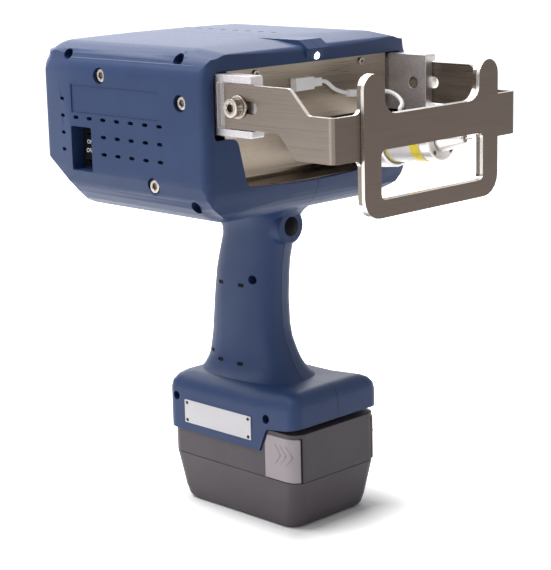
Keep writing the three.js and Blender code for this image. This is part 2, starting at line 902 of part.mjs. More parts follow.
// Cuts in one side of the head: vents, a shallow label field and screw holes
function sideCuts(side) {
  const outer = side * (headHalfWidth + overrun);
  const through = (y, z) =>
    alongX(slotShape(y, z, ventLength, ventHeight), outer, side * (headHalfWidth - 3 * wall));
  const rowCounts = [7, 5, 5];
  const rowZ = (row) => headTopZ - ventTopInset - row * ventPitchUp;
  const rows = rowCounts.flatMap((count, row) =>
    Array.from({ length: count }, (_, i) => through(ventFrontY + i * ventPitchAlong, rowZ(row))),
  );
  const column = [-1, 0, 1, 2].map((row) => through(ventColumnY, rowZ(row)));
  const labelZ = headTopZ - labelTopInset;
  const label = outline([
    [labelFrontY, labelZ - labelHeight, labelCorner],
    [labelRearY, labelZ - labelHeight],
    [labelRearY, labelZ],
    [labelFrontY, labelZ, labelCorner],
  ]);
  return [...rows, ...column, alongX(label, outer, side * (headHalfWidth - insetDepth))];
}

function topVents() {
  return Array.from({ length: 8 }, (_, i) =>
    alongZ(
      slotShape(topVentX, topVentFrontY + i * topVentPitch, ventHeight, ventLength),
      headTopZ - 2 * wall,
      headTopZ + overrun,
    ),
  );
}

// Bosses that meet at the seam, low in the base and halfway up the grip
const seamBosses = [...baseHoles.map((hole) => [...hole, baseHalfWidth]), [...gripHole, gripWidth / 2]];

function seamPosts(side) {
  const inside = join([baseBody(insetDepth, skirtTopZ), gripBody(insetDepth)]);
  return seamBosses.map(([y, z, reach]) =>
    alongX(disc(y, z, seamBossRadius, 10), (side * gap) / 2, side * reach).intersect(inside),
  );
}

function triggerSwitchPost(side) {
  const post = disc(triggerSwitchFrontY + triggerSwitchDepth / 2, triggerZ, triggerSwitchHalfHeight / 2, 12);
  return alongX(post, side * (triggerSwitchHalfWidth + gap), side * gripWidth).intersect(gripBody(insetDepth));
}

// Inside end of the post behind a head screw: the slide block or the inner frame
const postEnd = (y) => (y < blockRearY ? blockOuter : sidePlateOuter) + gap;

function headPosts(side, radius) {
  return headScrews.map(([y, z]) =>
    alongX(disc(y, z, radius, 10), side * (headHalfWidth - insetDepth - gap), side * postEnd(y)),
  );
}

function rightShell(housing) {
  const reach = 2 * headHalfWidth;
  const half = housing.intersect(box(-reach, -gap / 2, -reach, reach, 0, 2 * reach));
  const outer = -headHalfWidth - overrun;
  const seat = -headHalfWidth + counterboreDepth;
  const bores = headScrews.flatMap(([y, z]) => [
    alongX(disc(y, z, counterboreRadius), outer, seat),
    alongX(disc(y, z, screwShankRadius + gap, 8), outer, -postEnd(y) + overrun),
  ]);
  const deepBottom = -headHalfWidth + deepHoleDepth;
  const deepCups = headDeepHoles.map(([y, z]) =>
    alongX(disc(y, z, deepHoleRadius + bossWall, 10), outer, deepBottom + bossWall).intersect(
      headBody(insetDepth),
    ),
  );
  const deepHoles = headDeepHoles.map(([y, z]) => alongX(disc(y, z, deepHoleRadius, 16), outer, deepBottom));
  const seamHoles = seamBosses.map(([y, z, reachX]) =>
    alongX(disc(y, z, deepHoleRadius, 16), -reachX - overrun, -reachX + seamHoleDepth),
  );
  const switchRearY = switchFrontY + switchLength;
  const cup = box(
    outer,
    switchFaceX + bossWall,
    switchFrontY - bossWall,
    switchRearY + bossWall,
    switchBottomZ - bossWall,
    switchTopZ + bossWall,
  ).intersect(headBody(insetDepth));
  const recess = alongX(
    roundedBox(switchFrontY, switchRearY, switchBottomZ, switchTopZ, switchCornerRadius),
    outer,
    switchFaceX,
  );
  const throat = box(
    outer,
    switchFaceX + overrun,
    switchFrontY + switchBodyMargin - gap,
    switchRearY - switchBodyMargin + gap,
    switchBottomZ + switchBodyMargin - gap,
    switchTopZ - switchBodyMargin + gap,
  );
  const solid = join([
    half,
    ...headPosts(-1, counterboreRadius + bossWall),
    ...deepCups,
    ...seamPosts(-1),
    triggerSwitchPost(-1),
    cup,
  ]);
  return cut(solid, [...bores, ...deepHoles, ...seamHoles, ...sideCuts(-1), recess, throat]);
}

function leftShell(housing) {
  const reach = 2 * headHalfWidth;
  const half = housing.intersect(box(gap / 2, reach, -reach, reach, 0, 2 * reach));
  const solid = join([half, ...headPosts(1, counterboreRadius), ...seamPosts(1), triggerSwitchPost(1)]);
  return cut(solid, [...sideCuts(1), ...topVents()]);
}

// Inner frame: two side plates, a floor, a tie behind the cover, tabs for the board and screw posts
function innerFrame() {
  const sideShape = roundedBox(frameFrontY, frameRearY, frameFloorZ, frameTopZ, frameCorner);
  const sideWindow = roundedBox(
    screwY + frameWindowMargin * 2,
    frameRearY - frameWindowMargin * 1.5,
    frameFloorZ + frameWindowMargin * 2,
    frameTopZ - frameWindowMargin * 2.5,
    frameCorner,
  );
  const plates = [-1, 1].map((side) =>
    alongX(sideShape, side * sidePlateInner, side * sidePlateOuter).subtract(
      alongX(sideWindow, side * (sidePlateInner - overrun), side * (sidePlateOuter + overrun)),
    ),
  );
  const across = sidePlateInner + gap;
  const floorTop = frameFloorZ + frameFloorThickness;
  const floor = box(-across, across, frameFrontY, frameRearY, frameFloorZ, floorTop);
  const tieBottom = frameTopZ - frameTieHeight;
  const ties = [frameFrontY, frameRearY - frameTieDepth].map((y) =>
    box(-across, across, y, y + frameTieDepth, tieBottom, frameTopZ),
  );
  const tabs = [-1, 1].flatMap((side) =>
    [frameFloorZ, frameTopZ - frameTabLength].map((z) =>
      box(
        side * across,
        side * (sidePlateInner - frameTabLength),
        frameRearY - frameTieDepth,
        frameRearY,
        z,
        z + frameTabLength,
      ),
    ),
  );
  const posts = floorScrewPlaces.map(([x, y]) =>
    alongZ(disc(x, y, coverPostRadius, 10), frameFloorZ, coverFloorZ - coverThickness - gap),
  );
  const reach = sidePlateOuter + overrun;
  const throughPlates = (y, z, radius) => alongX(disc(y, z, radius, 12), -reach, reach);
  const screwHoles = headScrews
    .filter(([y]) => y > blockRearY)
    .map(([y, z]) => alongX(disc(y, z, screwShankRadius + gap, 8), -reach, -sidePlateInner + overrun));
  const coverHoles = coverScrewPlaces.map(([x, z]) =>
    alongY(disc(x, z, coverScrewShankRadius + gap, 10), coverFaceY, coverFaceY + 2 * coverScrewLength),
  );
  const floorHoles = floorScrewPlaces.map(([x, y]) =>
    alongZ(disc(x, y, coverScrewShankRadius + gap, 10), floorTop, coverFloorZ),
  );
  const harnessHole = alongZ(
    disc(0, harnessFrameY, harnessRadius + gap),
    frameFloorZ - overrun,
    frameFloorZ + overrun,
  );
  return cut(join([...plates, floor, ...ties, ...tabs, ...posts]), [
    throughPlates(upperRodY, upperRodZ, rodRadius + gap),
    throughPlates(lowerRodY, lowerRodZ, rodRadius + gap),
    throughPlates(screwY, screwZ, rodRadius + gap),
    ...screwHoles,
    ...coverHoles,
    ...floorHoles,
    harnessHole,
  ]);
}

// Front cover: one sheet bent into floor, back wall, ledge and face
function frontCover() {
  const rear = coverThickness;
  const sheetShape = outline([
    [headFrontY, coverFloorZ],
    [coverBackY, coverFloorZ, coverBend / 2],
    [coverBackY, coverLedgeZ, coverBend],
    [coverFaceY, coverLedgeZ, coverThickness],
    [coverFaceY, coverTopZ],
    [coverFaceY + rear, coverTopZ],
    [coverFaceY + rear, coverLedgeZ + rear],
    [coverBackY + rear, coverLedgeZ + rear, coverBend + rear],
    [coverBackY + rear, coverFloorZ - rear, coverBend / 2 + rear],
    [headFrontY, coverFloorZ - rear],
  ]);
  const within = sidePlateInner - gap;
  const sheet = alongX(sheetShape, -within, within);
  const face = box(
    -coverHalfWidth,
    coverHalfWidth,
    coverFaceY,
    coverFaceY + coverThickness,
    coverLedgeZ + coverThickness,
    coverTopZ,
  );
  const slot = alongZ(
    roundedBox(-yokeSlotHalfWidth, yokeSlotHalfWidth, yokeSlotFrontY, yokeSlotRearY, openingRadius),
    coverLedgeZ - overrun,
    coverLedgeZ + overrun,
  );
  const coverHoles = coverScrewPlaces.map(([x, z]) =>
    alongY(disc(x, z, coverScrewShankRadius + gap, 10), coverFaceY - overrun, coverFaceY + overrun),
  );
  const floorHoles = floorScrewPlaces.map(([x, y]) =>
    alongZ(disc(x, y, coverScrewShankRadius + gap, 10), coverFloorZ - overrun, coverFloorZ + overrun),
  );
  return cut(join([sheet, face]).intersect(headBody(wall + gap)), [slot, ...coverHoles, ...floorHoles]);
}

// A slide block with the channel that the bracket arm runs in
function slideBlock(side) {
  const bottom = armMiddleZ - blockHeight / 2;
  const top = armMiddleZ + blockHeight / 2;
  const channelHalf = armHeight / 2 + channelSlack;
  const far = side * (blockOuter + overrun);
  const body = alongX(
    roundedBox(blockFrontY, blockRearY, bottom, top, blockCorner),
    side * blockInner,
    side * blockOuter,
  );
  const channel = alongX(
    roundedBox(
      blockFrontY - 2 * overrun,
      channelRearY,
      armMiddleZ - channelHalf,
      armMiddleZ + channelHalf,
      blockCorner,
    ),
    side * (blockOuter - channelDepth),
    far,
  );
  const bore = alongX(disc(clampScrewY, armMiddleZ, clampScrewRadius + gap), side * (blockInner - overrun), far);
  const [y, z] = headScrews[0];
  const tapped = alongX(disc(y, z, screwShankRadius + gap, 12), side * (blockOuter - screwBite - gap), far);
  return cut(body, [channel, bore, tapped]);
}

// Outline of the contact plate: a window below, two prongs above, and the band to each side if wanted
function plateOutline(withBand) {
  const half = plateHalfWidth;
  const foot = stylusZ - plateFoot;
  const crossbar = stylusZ + crossbarRise;
  const prongTop = stylusZ + prongRise;
  const prongRadius = prongWidth / 2;
  const prongInner = half - prongWidth;
  const band = blockOuter + overrun;
  const rightBand = [
    [half, bandBottomZ, bandFillet],
    [band, bandBottomZ],
    [band, bandTopZ],
    [half, bandTopZ, bandFillet],
  ];
  const leftBand = rightBand.map(([x, ...rest]) => [-x, ...rest]).reverse();
  const shape = outline([
    [-half, foot, plateFootRadius],
    [half, foot, plateFootRadius],
    ...(withBand ? rightBand : []),
    [half, prongTop, prongRadius],
    [prongInner, prongTop, prongRadius],
    [prongInner, crossbar, saddleRadius],
    [-prongInner, crossbar, saddleRadius],
    [-prongInner, prongTop, prongRadius],
    [-half, prongTop, prongRadius],
    ...(withBand ? leftBand : []),
  ]);
  const windowBottom = stylusZ - windowHalfHeight;
  const windowTop = stylusZ + windowHalfHeight;
  shape.holes.push(
    roundedBox(-windowHalfWidth, windowHalfWidth, windowBottom, windowTop, windowRadius, 30),
  );
  return shape;
}

// Stand-off bracket: a sheet bent round in plan, with arms that step down to the band
function standoffBracket() {
  const inner = blockOuter - sheetThickness;
  const innerFront = sheetFrontY + sheetThickness;
  const plan = outline([
    [-blockOuter, armRearY],
    [-blockOuter, sheetFrontY, bendRadius],
    [blockOuter, sheetFrontY, bendRadius],
    [blockOuter, armRearY],
    [inner, armRearY],
    [inner, innerFront, bendRadius - sheetThickness],
    [-inner, innerFront, bendRadius - sheetThickness],
    [-inner, armRearY],
  ]);
  const bendEnd = sheetFrontY + bendRadius;
  const high = headTopZ + overrun;
  const low = headBottomZ - overrun;
  const rear = armRearY + overrun;
  const side = outline([
    [rear, armBottomZ],
    [rear, armTopZ],
    [armStepTopY, armTopZ, armStepRadius],
    [armStepFrontY, bandTopZ, armStepRadius],
    [bendEnd, bandTopZ],
    [bendEnd, high],
    [standoffFaceY, high],
    [standoffFaceY, low],
    [bendEnd, low],
    [bendEnd, bandBottomZ],
    [armStepFootY, bandBottomZ, armStepRadius],
    [armStepBottomY, armBottomZ, armStepRadius],
  ]);
  const reach = blockOuter + overrun;
  const front = join([
    alongY(plateOutline(true), standoffFaceY, bendEnd),
    box(-reach, reach, bendEnd, rear, low, high),
  ]);
  const slots = [-1, 1].map((hand) =>
    alongX(
      roundedBox(
        clampScrewY - slotFrontReach,
        clampScrewY + slotRearReach,
        armMiddleZ - clampScrewRadius - gap,
        armMiddleZ + clampScrewRadius + gap,
        clampScrewRadius + gap,
        30,
      ),
      hand * (inner - overrun),
      hand * reach,
    ),
  );
  return cut(alongZ(plan, low, high).intersect(alongX(side, -reach, reach)).intersect(front), slots);
}

const contactPlate = () =>
  alongY(plateOutline(false), standoffFaceY, standoffFaceY + contactPlateThickness);

function clampWasher(side) {
  const ring = disc(clampScrewY, armMiddleZ, washerRadius, 24);
  ring.holes.push(disc(clampScrewY, armMiddleZ, clampScrewRadius + gap, 20));
  const face = blockOuter + gap;
  return alongX(ring, side * face, side * (face + washerThickness));
}

function clampScrew(side) {
  const headBase = blockOuter + gap + washerThickness + gap;
  const headTop = headBase + clampHeadLength;
  const shank = disc(clampScrewY, armMiddleZ, clampScrewRadius);
  const head = disc(clampScrewY, armMiddleZ, clampHeadRadius, 28);
  const socket = disc(clampScrewY, armMiddleZ, clampSocketRadius, 6);
  return cut(
    join([
      alongX(shank, side * (blockInner + gap), side * headTop),
      alongX(head, side * headBase, side * headTop),
    ]),
    [alongX(socket, side * (headTop - clampSocketDepth), side * (headTop + overrun))],
  );
}

// A pan-head screw in the head's side, down to what it bites into
function headScrew([y, z]) {
  const seat = -headHalfWidth + counterboreDepth - gap;
  const tip = -postEnd(y) + (y < blockRearY ? screwBite : sidePlateThickness);
  const shank = alongX(disc(y, z, screwShankRadius, 12), seat - gap, tip);
  const head = alongX(disc(y, z, screwHeadRadius, 20), seat - screwHeadHeight, seat);
  const socket = alongX(
    disc(y, z, screwSocketRadius, 6),
    seat - screwHeadHeight - overrun,
    seat - screwHeadHeight + screwSocketDepth,
  );
  return cut(join([shank, head]), [socket]);
}

// Small button-head screws of the front cover
function coverScrew([x, z]) {
  const seat = coverFaceY - gap;
  return join([
    alongY(disc(x, z, coverScrewHeadRadius, 16), seat - coverScrewHeadHeight, seat),
    alongY(disc(x, z, coverScrewShankRadius, 10), seat - gap, seat + coverScrewLength),
  ]);
}

function floorScrew([x, y]) {
  const seat = coverFloorZ + gap;
  return join([
    alongZ(disc(x, y, coverScrewHeadRadius, 16), seat, seat + coverScrewHeadHeight),
    alongZ(disc(x, y, coverScrewShankRadius, 10), seat - coverScrewLength, seat + gap),
  ]);
}

// Guide rods and lead screw run through both side plates
const guideRod = (y, z) => alongX(disc(y, z, rodRadius, 12), -sidePlateOuter + gap, sidePlateOuter - gap);
const leadScrew = () =>
  alongX(disc(screwY, screwZ, rodRadius, 12), -sidePlateOuter - rodRadius, sidePlateOuter - gap);

function xMotor() {
  const front = -sidePlateOuter - gap;
  const shape = roundedBox(
    screwY - xMotorHalf,
    screwY + xMotorHalf,
    screwZ - xMotorHalf,
    screwZ + xMotorHalf,
    xMotorCorner,
    45,
  );
  const coupling = alongX(disc(screwY, screwZ, rodRadius + gap, 12), front + overrun, front - rodRadius - gap);
  return cut(alongX(shape, front, front - xMotorLength), [coupling]);
}

// Carriage: rides the rods on top of the ledge and reaches down through the slot with two ears
function xCarriage() {
  const bottom = stylusZ + carriageBottomRise;
  const bodyShape = outline([
    [upperRodY - carriageMargin, bottom],
    [screwY + carriageMargin, bottom, carriageMargin / 2],
    [screwY + carriageMargin, screwZ + carriageMargin, carriageMargin / 2],
    [upperRodY + carriageMargin, upperRodZ + carriageMargin, carriageMargin / 2],
    [upperRodY - carriageMargin, upperRodZ + carriageMargin, carriageMargin / 2],
  ]);
  const body = alongX(bodyShape, stylusHomeX - carriageHalfWidth, stylusHomeX + carriageHalfWidth);
  const earShape = outline([
    [pivotY - holderArmHalfHeight, stylusZ - holderArmHalfHeight, holderArmHalfHeight],
    [pivotY + holderArmHalfHeight, stylusZ - holderArmHalfHeight, holderArmHalfHeight],
    [pivotY + holderArmHalfHeight, bottom + carriageMargin, carriageMargin / 4],
    [pivotY - holderArmHalfHeight, bottom + carriageMargin, carriageMargin / 4],
  ]);
  const ears = [-1, 1].map((side) =>
    alongX(earShape, stylusHomeX + side * earInner, stylusHomeX + side * earOuter),
  );
  const bridge = box(
    stylusHomeX - earInner - gap,
    stylusHomeX + earInner + gap,
    pivotY - holderArmHalfHeight + gap,
    pivotY + holderArmHalfHeight,
    bottom,
    bottom + carriageMargin - gap,
  );
  const reach = earOuter + overrun;
  const bore = (y, z, radius) =>
    alongX(disc(y, z, radius + gap, 12), stylusHomeX - reach, stylusHomeX + reach);
  return cut(join([body, ...ears, bridge]), [
    bore(upperRodY, upperRodZ, rodRadius),
    bore(lowerRodY, lowerRodZ, rodRadius),
    bore(screwY, screwZ, rodRadius),
    bore(pivotY, stylusZ, journalRadius),
  ]);
}

// Swing drive, in the stylus frame: the pivot is at zero and the stylus points along -Y
function swingMotor() {
  const half = holderArmInner - gap;
  const body = alongX(disc(0, 0, swingMotorRadius, 20), -half, half);
  const journal = alongX(disc(0, 0, journalRadius), -earOuter, -half + gap);
  const shaftBore = alongX(disc(0, 0, journalRadius + gap), half - 2 * journalRadius, half + overrun);
  return cut(join([body, journal]), [shaftBore]);
}

const pivotShaft = () => alongX(disc(0, 0, journalRadius), holderArmInner - 2 * journalRadius, earOuter);

// Holder: a ring round the solenoid and two arms back to the pivot
function stylusHolder() {
  const front = -holderFront;
  const rear = -holderFront + holderLength;
  const bore = solenoidRadius + gap;
  const ringProfile = [
    [0, front],
    [holderRadius - holderChamfer, front],
    [holderRadius, front + holderChamfer],
    [holderRadius, rear - holderChamfer],
    [holderRadius - holderChamfer, rear],
    [0, rear],
  ];
  const boreProfile = [
    [0, front - overrun],
    [bore + holderChamfer + overrun, front - overrun],
    [bore, front + holderChamfer],
    [bore, rear + overrun],
    [0, rear + overrun],
  ];
  const armShape = outline([
    [front + holderLength / 3, -holderArmHalfHeight, holderArmHalfHeight / 2],
    [holderArmHalfHeight, -holderArmHalfHeight, holderArmHalfHeight],
    [holderArmHalfHeight, holderArmHalfHeight, holderArmHalfHeight],
    [front + holderLength / 3, holderArmHalfHeight, holderArmHalfHeight / 2],
  ]);
  const arms = [-1, 1].map((side) => alongX(armShape, side * holderArmInner, side * holderArmOuter));
  const reach = holderArmOuter + overrun;
  return cut(join([turned(ringProfile, 0, 0), ...arms]), [
    turned(boreProfile, 0, 0),
    alongX(disc(0, 0, journalRadius + gap), -reach, reach),
  ]);
}

function solenoidBody() {
  const shell = [
    [0, -solenoidFront],
    [solenoidRadius, -solenoidFront],
    [solenoidRadius, -solenoidShoulder - holderChamfer],
    [solenoidRadius - holderChamfer, -solenoidShoulder],
    [solenoidTailRadius, -solenoidShoulder],
    [solenoidTailRadius, -solenoidTailStart - holderChamfer],
    [solenoidTailRadius - holderChamfer, -solenoidTailStart],
    [0, -solenoidTailStart],
  ];
  const bore = [
    [0, -solenoidFront - overrun],
    [returnSpringRadius + slip, -solenoidFront - overrun],
    [returnSpringRadius + slip, -plungerFront - pinStroke],
    [plungerRadius + gap, -plungerFront - pinStroke],
    [plungerRadius + gap, -plungerStart + gap],
    [0, -plungerStart + gap],
  ];
  const entry = alongZ(
    disc(0, -leadEntryAt, leadEntryRadius, 14),
    solenoidRadius / 2,
    solenoidRadius + leadEntryHeight,
  );
  return cut(join([turned(shell, 0, 0), entry]), [turned(bore, 0, 0, 12)]);
}

function solenoidCap() {
  const rear = -solenoidFront - gap;
  const front = rear - capLength;
  const screwRing = (solenoidRadius + nozzleRootRadius) / 2;
  const body = [
    [0, front],
    [solenoidRadius - capChamfer, front],
    [solenoidRadius, front + capChamfer],
    [solenoidRadius, rear],
    [0, rear],
  ];
  const dimples = [0, 1, 2, 3].map((i) => {
    const angle = (Math.PI / 2) * (i + 0.5);
    const place = disc(screwRing * Math.cos(angle), screwRing * Math.sin(angle), screwShankRadius, 10);
    return alongY(place, front - overrun, front + screwSocketDepth);
  });
  const pinBore = alongY(disc(0, 0, pinRadius + slip, 12), front - overrun, rear + overrun);
  return cut(turned(body, 0, 0), [pinBore, ...dimples]);
}

function stylusNozzle() {
  const rear = -capFront - gap;
  const front = rear - nozzleLength;
  const body = [
    [0, front],
    [nozzleTipRadius - capChamfer, front],
    [nozzleTipRadius, front + capChamfer],
    [nozzleRootRadius, rear - nozzleCollar],
    [nozzleRootRadius, rear],
    [0, rear],
  ];
  const pinBore = alongY(disc(0, 0, pinRadius + slip, 12), front - overrun, rear + overrun);
  return cut(turned(body, 0, 0), [pinBore]);
}

function stylusPin() {
  const profile = [
    [0, -pinTip],
    [pinRadius, -pinTip + pinTaper],
    [pinRadius, -plungerFront - pinTaper],
    [plungerRadius, -plungerFront],
    [plungerRadius, -plungerStart],
    [0, -plungerStart],
  ];
  return turned(profile, 0, 0, 16);
}

const returnSpring = () =>
  coil(
    new THREE.Vector3(0, -solenoidFront, 0),
    new THREE.Vector3(0, -plungerFront - pinStroke - gap, 0),
    returnSpringRadius,
    3,
  );

// Trigger, its spring and its switch, on the centre plane
function triggerButton() {
  const rear = triggerFaceY + triggerLength;
  const profile = [
    [0, triggerFaceY],
    [triggerRadius * 0.6, triggerFaceY + triggerDome * 0.3],
    [triggerRadius, triggerFaceY + triggerDome],
    [triggerRadius, rear - triggerFlange],
    [triggerRadius + triggerFlange, rear - triggerFlange],
    [triggerRadius + triggerFlange, rear],
    [0, rear],
  ];
  return turned(profile, 0, triggerZ);
}

const triggerSpring = () =>
  coil(
    new THREE.Vector3(0, triggerSwitchFrontY - gap - triggerSpringLength, triggerZ),
    new THREE.Vector3(0, triggerSwitchFrontY - gap, triggerZ),
    triggerSpringRadius,
    1.5,
  );

const triggerSwitch = () =>
  box(
    -triggerSwitchHalfWidth,
    triggerSwitchHalfWidth,
    triggerSwitchFrontY,
    triggerSwitchFrontY + triggerSwitchDepth,
    triggerZ - triggerSwitchHalfHeight,
    triggerZ + triggerSwitchHalfHeight,
  );

// Power switch: bezel and body with a well, and a rocker about an axis along Y
const rockerX = switchFaceX - gap - switchBezelThickness / 2;

function powerSwitchBody() {
  const face = switchFaceX - gap;
  const rearY = switchFrontY + switchLength;
  const bezel = box(
    face - switchBezelThickness,
    face,
    switchFrontY + switchMargin,
    rearY - switchMargin,
    switchBottomZ + switchMargin,
    switchTopZ - switchMargin,
  );
  const body = box(
    face - gap,
    face + switchBodyDepth,
    switchFrontY + switchBodyMargin,
    rearY - switchBodyMargin,
    switchBottomZ + switchBodyMargin,
    switchTopZ - switchBodyMargin,
  );
  const wellHalf = rockerHalfLength + rockerWellSlack;
  const well = box(
    face - switchBezelThickness - overrun,
    rockerX + rockerDepth + rockerWellSlack,
    switchFrontY + switchBodyMargin + switchRim,
    rearY - switchBodyMargin - switchRim,
    switchMiddleZ - wellHalf,
    switchMiddleZ + wellHalf,
  );
  return cut(join([bezel, body]), [well]);
}

function powerRocker() {
  const shape = outline([
    [-rockerProud, -rockerHalfLength],
    [-rockerProud + rockerDip, 0],
    [-rockerProud, rockerHalfLength],
    [0, rockerHalfLength],
    [rockerDepth, 0],
    [0, -rockerHalfLength],
  ]);
  const rim = switchBodyMargin + switchRim + gap;
  const geometry = geometryOf(alongY(shape, switchFrontY + rim, switchFrontY + switchLength - rim));
  geometry.rotateY(THREE.MathUtils.degToRad(rockerTilt));
  geometry.translate(rockerX, 0, switchMiddleZ);
  return solidOf(geometry);
}

function lamp() {
  const front = headFrontY - ridgeNose / 2;
  const profile = [
    [0, front - lampRadius / 3],
    [lampRadius * 0.7, front],
    [lampRadius, front + lampRadius / 2],
    [lampRadius, front + lampLength / 2],
    [0, front + lampLength / 2],
  ];
  return turned(profile, 0, headTopZ - lampDrop, 16);
}

// Rear panel pieces and the boards behind them
const rearPanel = (half, z0, z1) =>
  alongY(
    roundedBox(-half, half, z0, z1, panelCorner),
    headRearY - panelDepth + gap,
    headRearY - panelDepth + gap + panelThickness,
  );

function displayModule() {
  const inner = headRearY - wall - gap;
  const half = displayHalfWidth + displayModuleMargin;
  const screenHalf = displayHalfWidth - displayBezel;
  const back = box(
    -half,
    half,
    inner - displayModuleDepth,
    inner,
    displayBottomZ - displayModuleMargin,
    displayTopZ + displayModuleMargin,
  );
  const screen = box(
    -screenHalf,
    screenHalf,
    inner - gap,
    headRearY - panelDepth,
    displayBottomZ + displayBezel,
    displayTopZ - displayBezel,
  );
  return join([back, screen]);
}

// Control board: its parts as shares of its half width, its height and its thickness
function controlBoard() {
  const bottom = headBottomZ + boardBottomRise;
  const y0 = frameRearY + gap;
  const y1 = y0 + boardThickness;
  const board = box(-boardHalfWidth, boardHalfWidth, y0, y1, bottom, bottom + boardHeight);
  const componentShares = [
    [-0.8, -0.35, 0.12, 0.5, 9],
    [-0.2, 0.1, 0.55, 0.85, 3],
    [0.25, 0.75, 0.15, 0.45, 6],
    [0.3, 0.42, 0.6, 0.8, 8],
    [0.5, 0.62, 0.6, 0.8, 8],
  ];
  const components = componentShares.map(([x0, x1, z0, z1, height]) =>
    box(
      x0 * boardHalfWidth,
      x1 * boardHalfWidth,
      y1 - gap,
      y1 + height * boardThickness,
      bottom + z0 * boardHeight,
      bottom + z1 * boardHeight,
    ),
  );
  return join([board, ...components]);
}

// Battery: a lower tub, an upper case with a slide top, latches, cells and terminals
function lowerCase() {
  const stationShares = [
    [0, 2.1],
    [0.08, 1.5],
    [0.25, 1.1],
    [1, 0],
  ];
  const skin = (inset, from, to) =>
    loft(
      stationShares.map(([rise, draw]) =>
        roundedRing(
          batteryHalfWidth - inset - draw * footInsetAcross,
          -batteryHalfLength + inset + draw * footInsetAlong,
          batteryHalfLength - inset - draw * footInsetAlong,
          batteryCornerRadius - inset,
          from + rise * (to - from),
        ),
      ),
    );
  return cut(skin(0, 0, lowerCaseHeight), [skin(caseWall, caseWall, lowerCaseHeight + overrun)]);
}

const batteryOutline = (inset, rearY) =>
  roundedBox(
    -batteryHalfWidth + inset,
    batteryHalfWidth - inset,
    -batteryHalfLength + inset,
    rearY,
    batteryCornerRadius - inset,
  );

// The corner that a latch fills, grown by a clearance and moved in by its travel
function latchSpace(side, grow, inward) {
  const core = alongZ(batteryOutline(latchThickness + grow, overrun), latchBottomZ - overrun, latchTopZ + overrun);
  const corner = alongZ(batteryOutline(-latchProud - grow, 0), latchBottomZ - grow, latchTopZ + grow);
  const window = box(
    side * (latchWrapX - grow - inward),
    side * (batteryHalfWidth + overrun),
    -batteryHalfLength - overrun,
    latchRearY + grow,
    latchBottomZ - overrun,
    latchTopZ + overrun,
  );
  const underStep = frontOfStep(latchBottomZ - 2 * overrun, skirtTopZ, grow - latchStepMargin);
  return corner.subtract(core.translate(-side * inward, 0, 0)).intersect(window).intersect(underStep);
}

const latchSpring = (side) =>
  coil(
    new THREE.Vector3(side * latchSpringX, latchMiddleY, latchMiddleZ),
    new THREE.Vector3(side * (latchSpringX - latchSpringLength), latchMiddleY, latchMiddleZ),
    latchSpringRadius,
    1.5,
  );

function upperCase() {
  const raisedHalf = baseHalfWidth - skirtWall - gap;
  const raisedRear = baseHalfLength - skirtWall - gap;
  const lowZ = skirtBottomZ - gap;
  const full = batteryOutline(0, batteryHalfLength);
  const frontBlock = alongZ(full, lowZ - overrun, batteryTopZ).intersect(
    frontOfStep(lowZ - 2 * overrun, batteryTopZ, -gap),
  );
  const raised = alongZ(
    roundedBox(-raisedHalf, raisedHalf, -batteryHalfLength / 2, raisedRear, baseCornerRadius - skirtWall),
    lowZ - overrun,
    batteryTopZ,
  );
  const grooveInner = baseHalfWidth - skirtWall - railDepth - slip;
  const railZ = skirtBottomZ + railRise;
  const grooveAt = (side, grow) =>
    box(
      side * (grooveInner - grow),
      side * (batteryHalfWidth + overrun),
      railFrontY - slip - grow,
      batteryHalfLength + overrun,
      railZ - slip - grow,
      railZ + railHeight + slip + grow,
    );
  const recessAt = (grow) =>
    box(
      -terminalHalfWidth - caseWall - grow,
      terminalHalfWidth + caseWall + grow,
      terminalRecessFrontY - grow,
      batteryHalfLength + overrun,
      batteryTopZ - terminalHeight - caseWall - grow,
      batteryTopZ + overrun,
    );
  const pocketAt = (side, grow) =>
    latchSpace(side, gap + grow, latchTravel).add(
      alongX(
        disc(latchMiddleY, latchMiddleZ, latchSpringRadius + slip + grow, 10),
        side * (latchSpringX - latchSpringLength - gap - grow),
        side * (batteryHalfWidth - latchThickness),
      ),
    );
  const sides = [-1, 1];
  const inside = roundedBox(
    -raisedHalf + caseWall,
    raisedHalf - caseWall,
    -batteryHalfLength + caseWall,
    raisedRear - caseWall,
    baseCornerRadius - caseWall,
  );
  const cavity = cut(alongZ(inside, upperCaseBottomZ - overrun, batteryTopZ - caseWall), [
    ...sides.map((side) => grooveAt(side, caseWall)),
    ...sides.map((side) => pocketAt(side, bossWall)),
    recessAt(caseWall),
  ]);
  return cut(join([alongZ(full, upperCaseBottomZ, lowZ), frontBlock, raised]), [
    cavity,
    ...sides.map((side) => grooveAt(side, 0)),
    ...sides.map((side) => pocketAt(side, 0)),
    recessAt(0),
  ]);
}

// Three rows of cells lying across the battery, held between two plates
function cellPack() {
  const rowCounts = [4, 5, 5];
  const bottom = caseWall + gap;
  const rowZ = (row) => bottom + cellHolderThickness + cellRadius + row * cellRise;
  const places = rowCounts.flatMap((count, row) =>
    Array.from({ length: count }, (_, i) => [(i - (count - 1) / 2) * cellPitch, rowZ(row)]),
  );
  const cells = places.map(([y, z]) => alongX(disc(y, z, cellRadius, 8), -cellLength / 2, cellLength / 2));
  const wide = (rowCounts[1] * cellPitch) / 2;
  const narrow = (rowCounts[0] * cellPitch) / 2;
  const top = rowZ(rowCounts.length - 1) + cellRadius + cellHolderThickness;
  const holderShape = outline([
    [-narrow, bottom],
    [narrow, bottom],
    [wide, bottom + cellRise],
    [wide, top],
    [-wide, top],
    [-wide, bottom + cellRise],
  ]);
  const holders = [-1, 1].map((side) => {
    const outer = cellLength / 2 + cellHolderThickness;
    return alongX(holderShape, side * (cellLength / 2 - cellHolderThickness), side * outer);
  });
  return join([...cells, ...holders]);
}

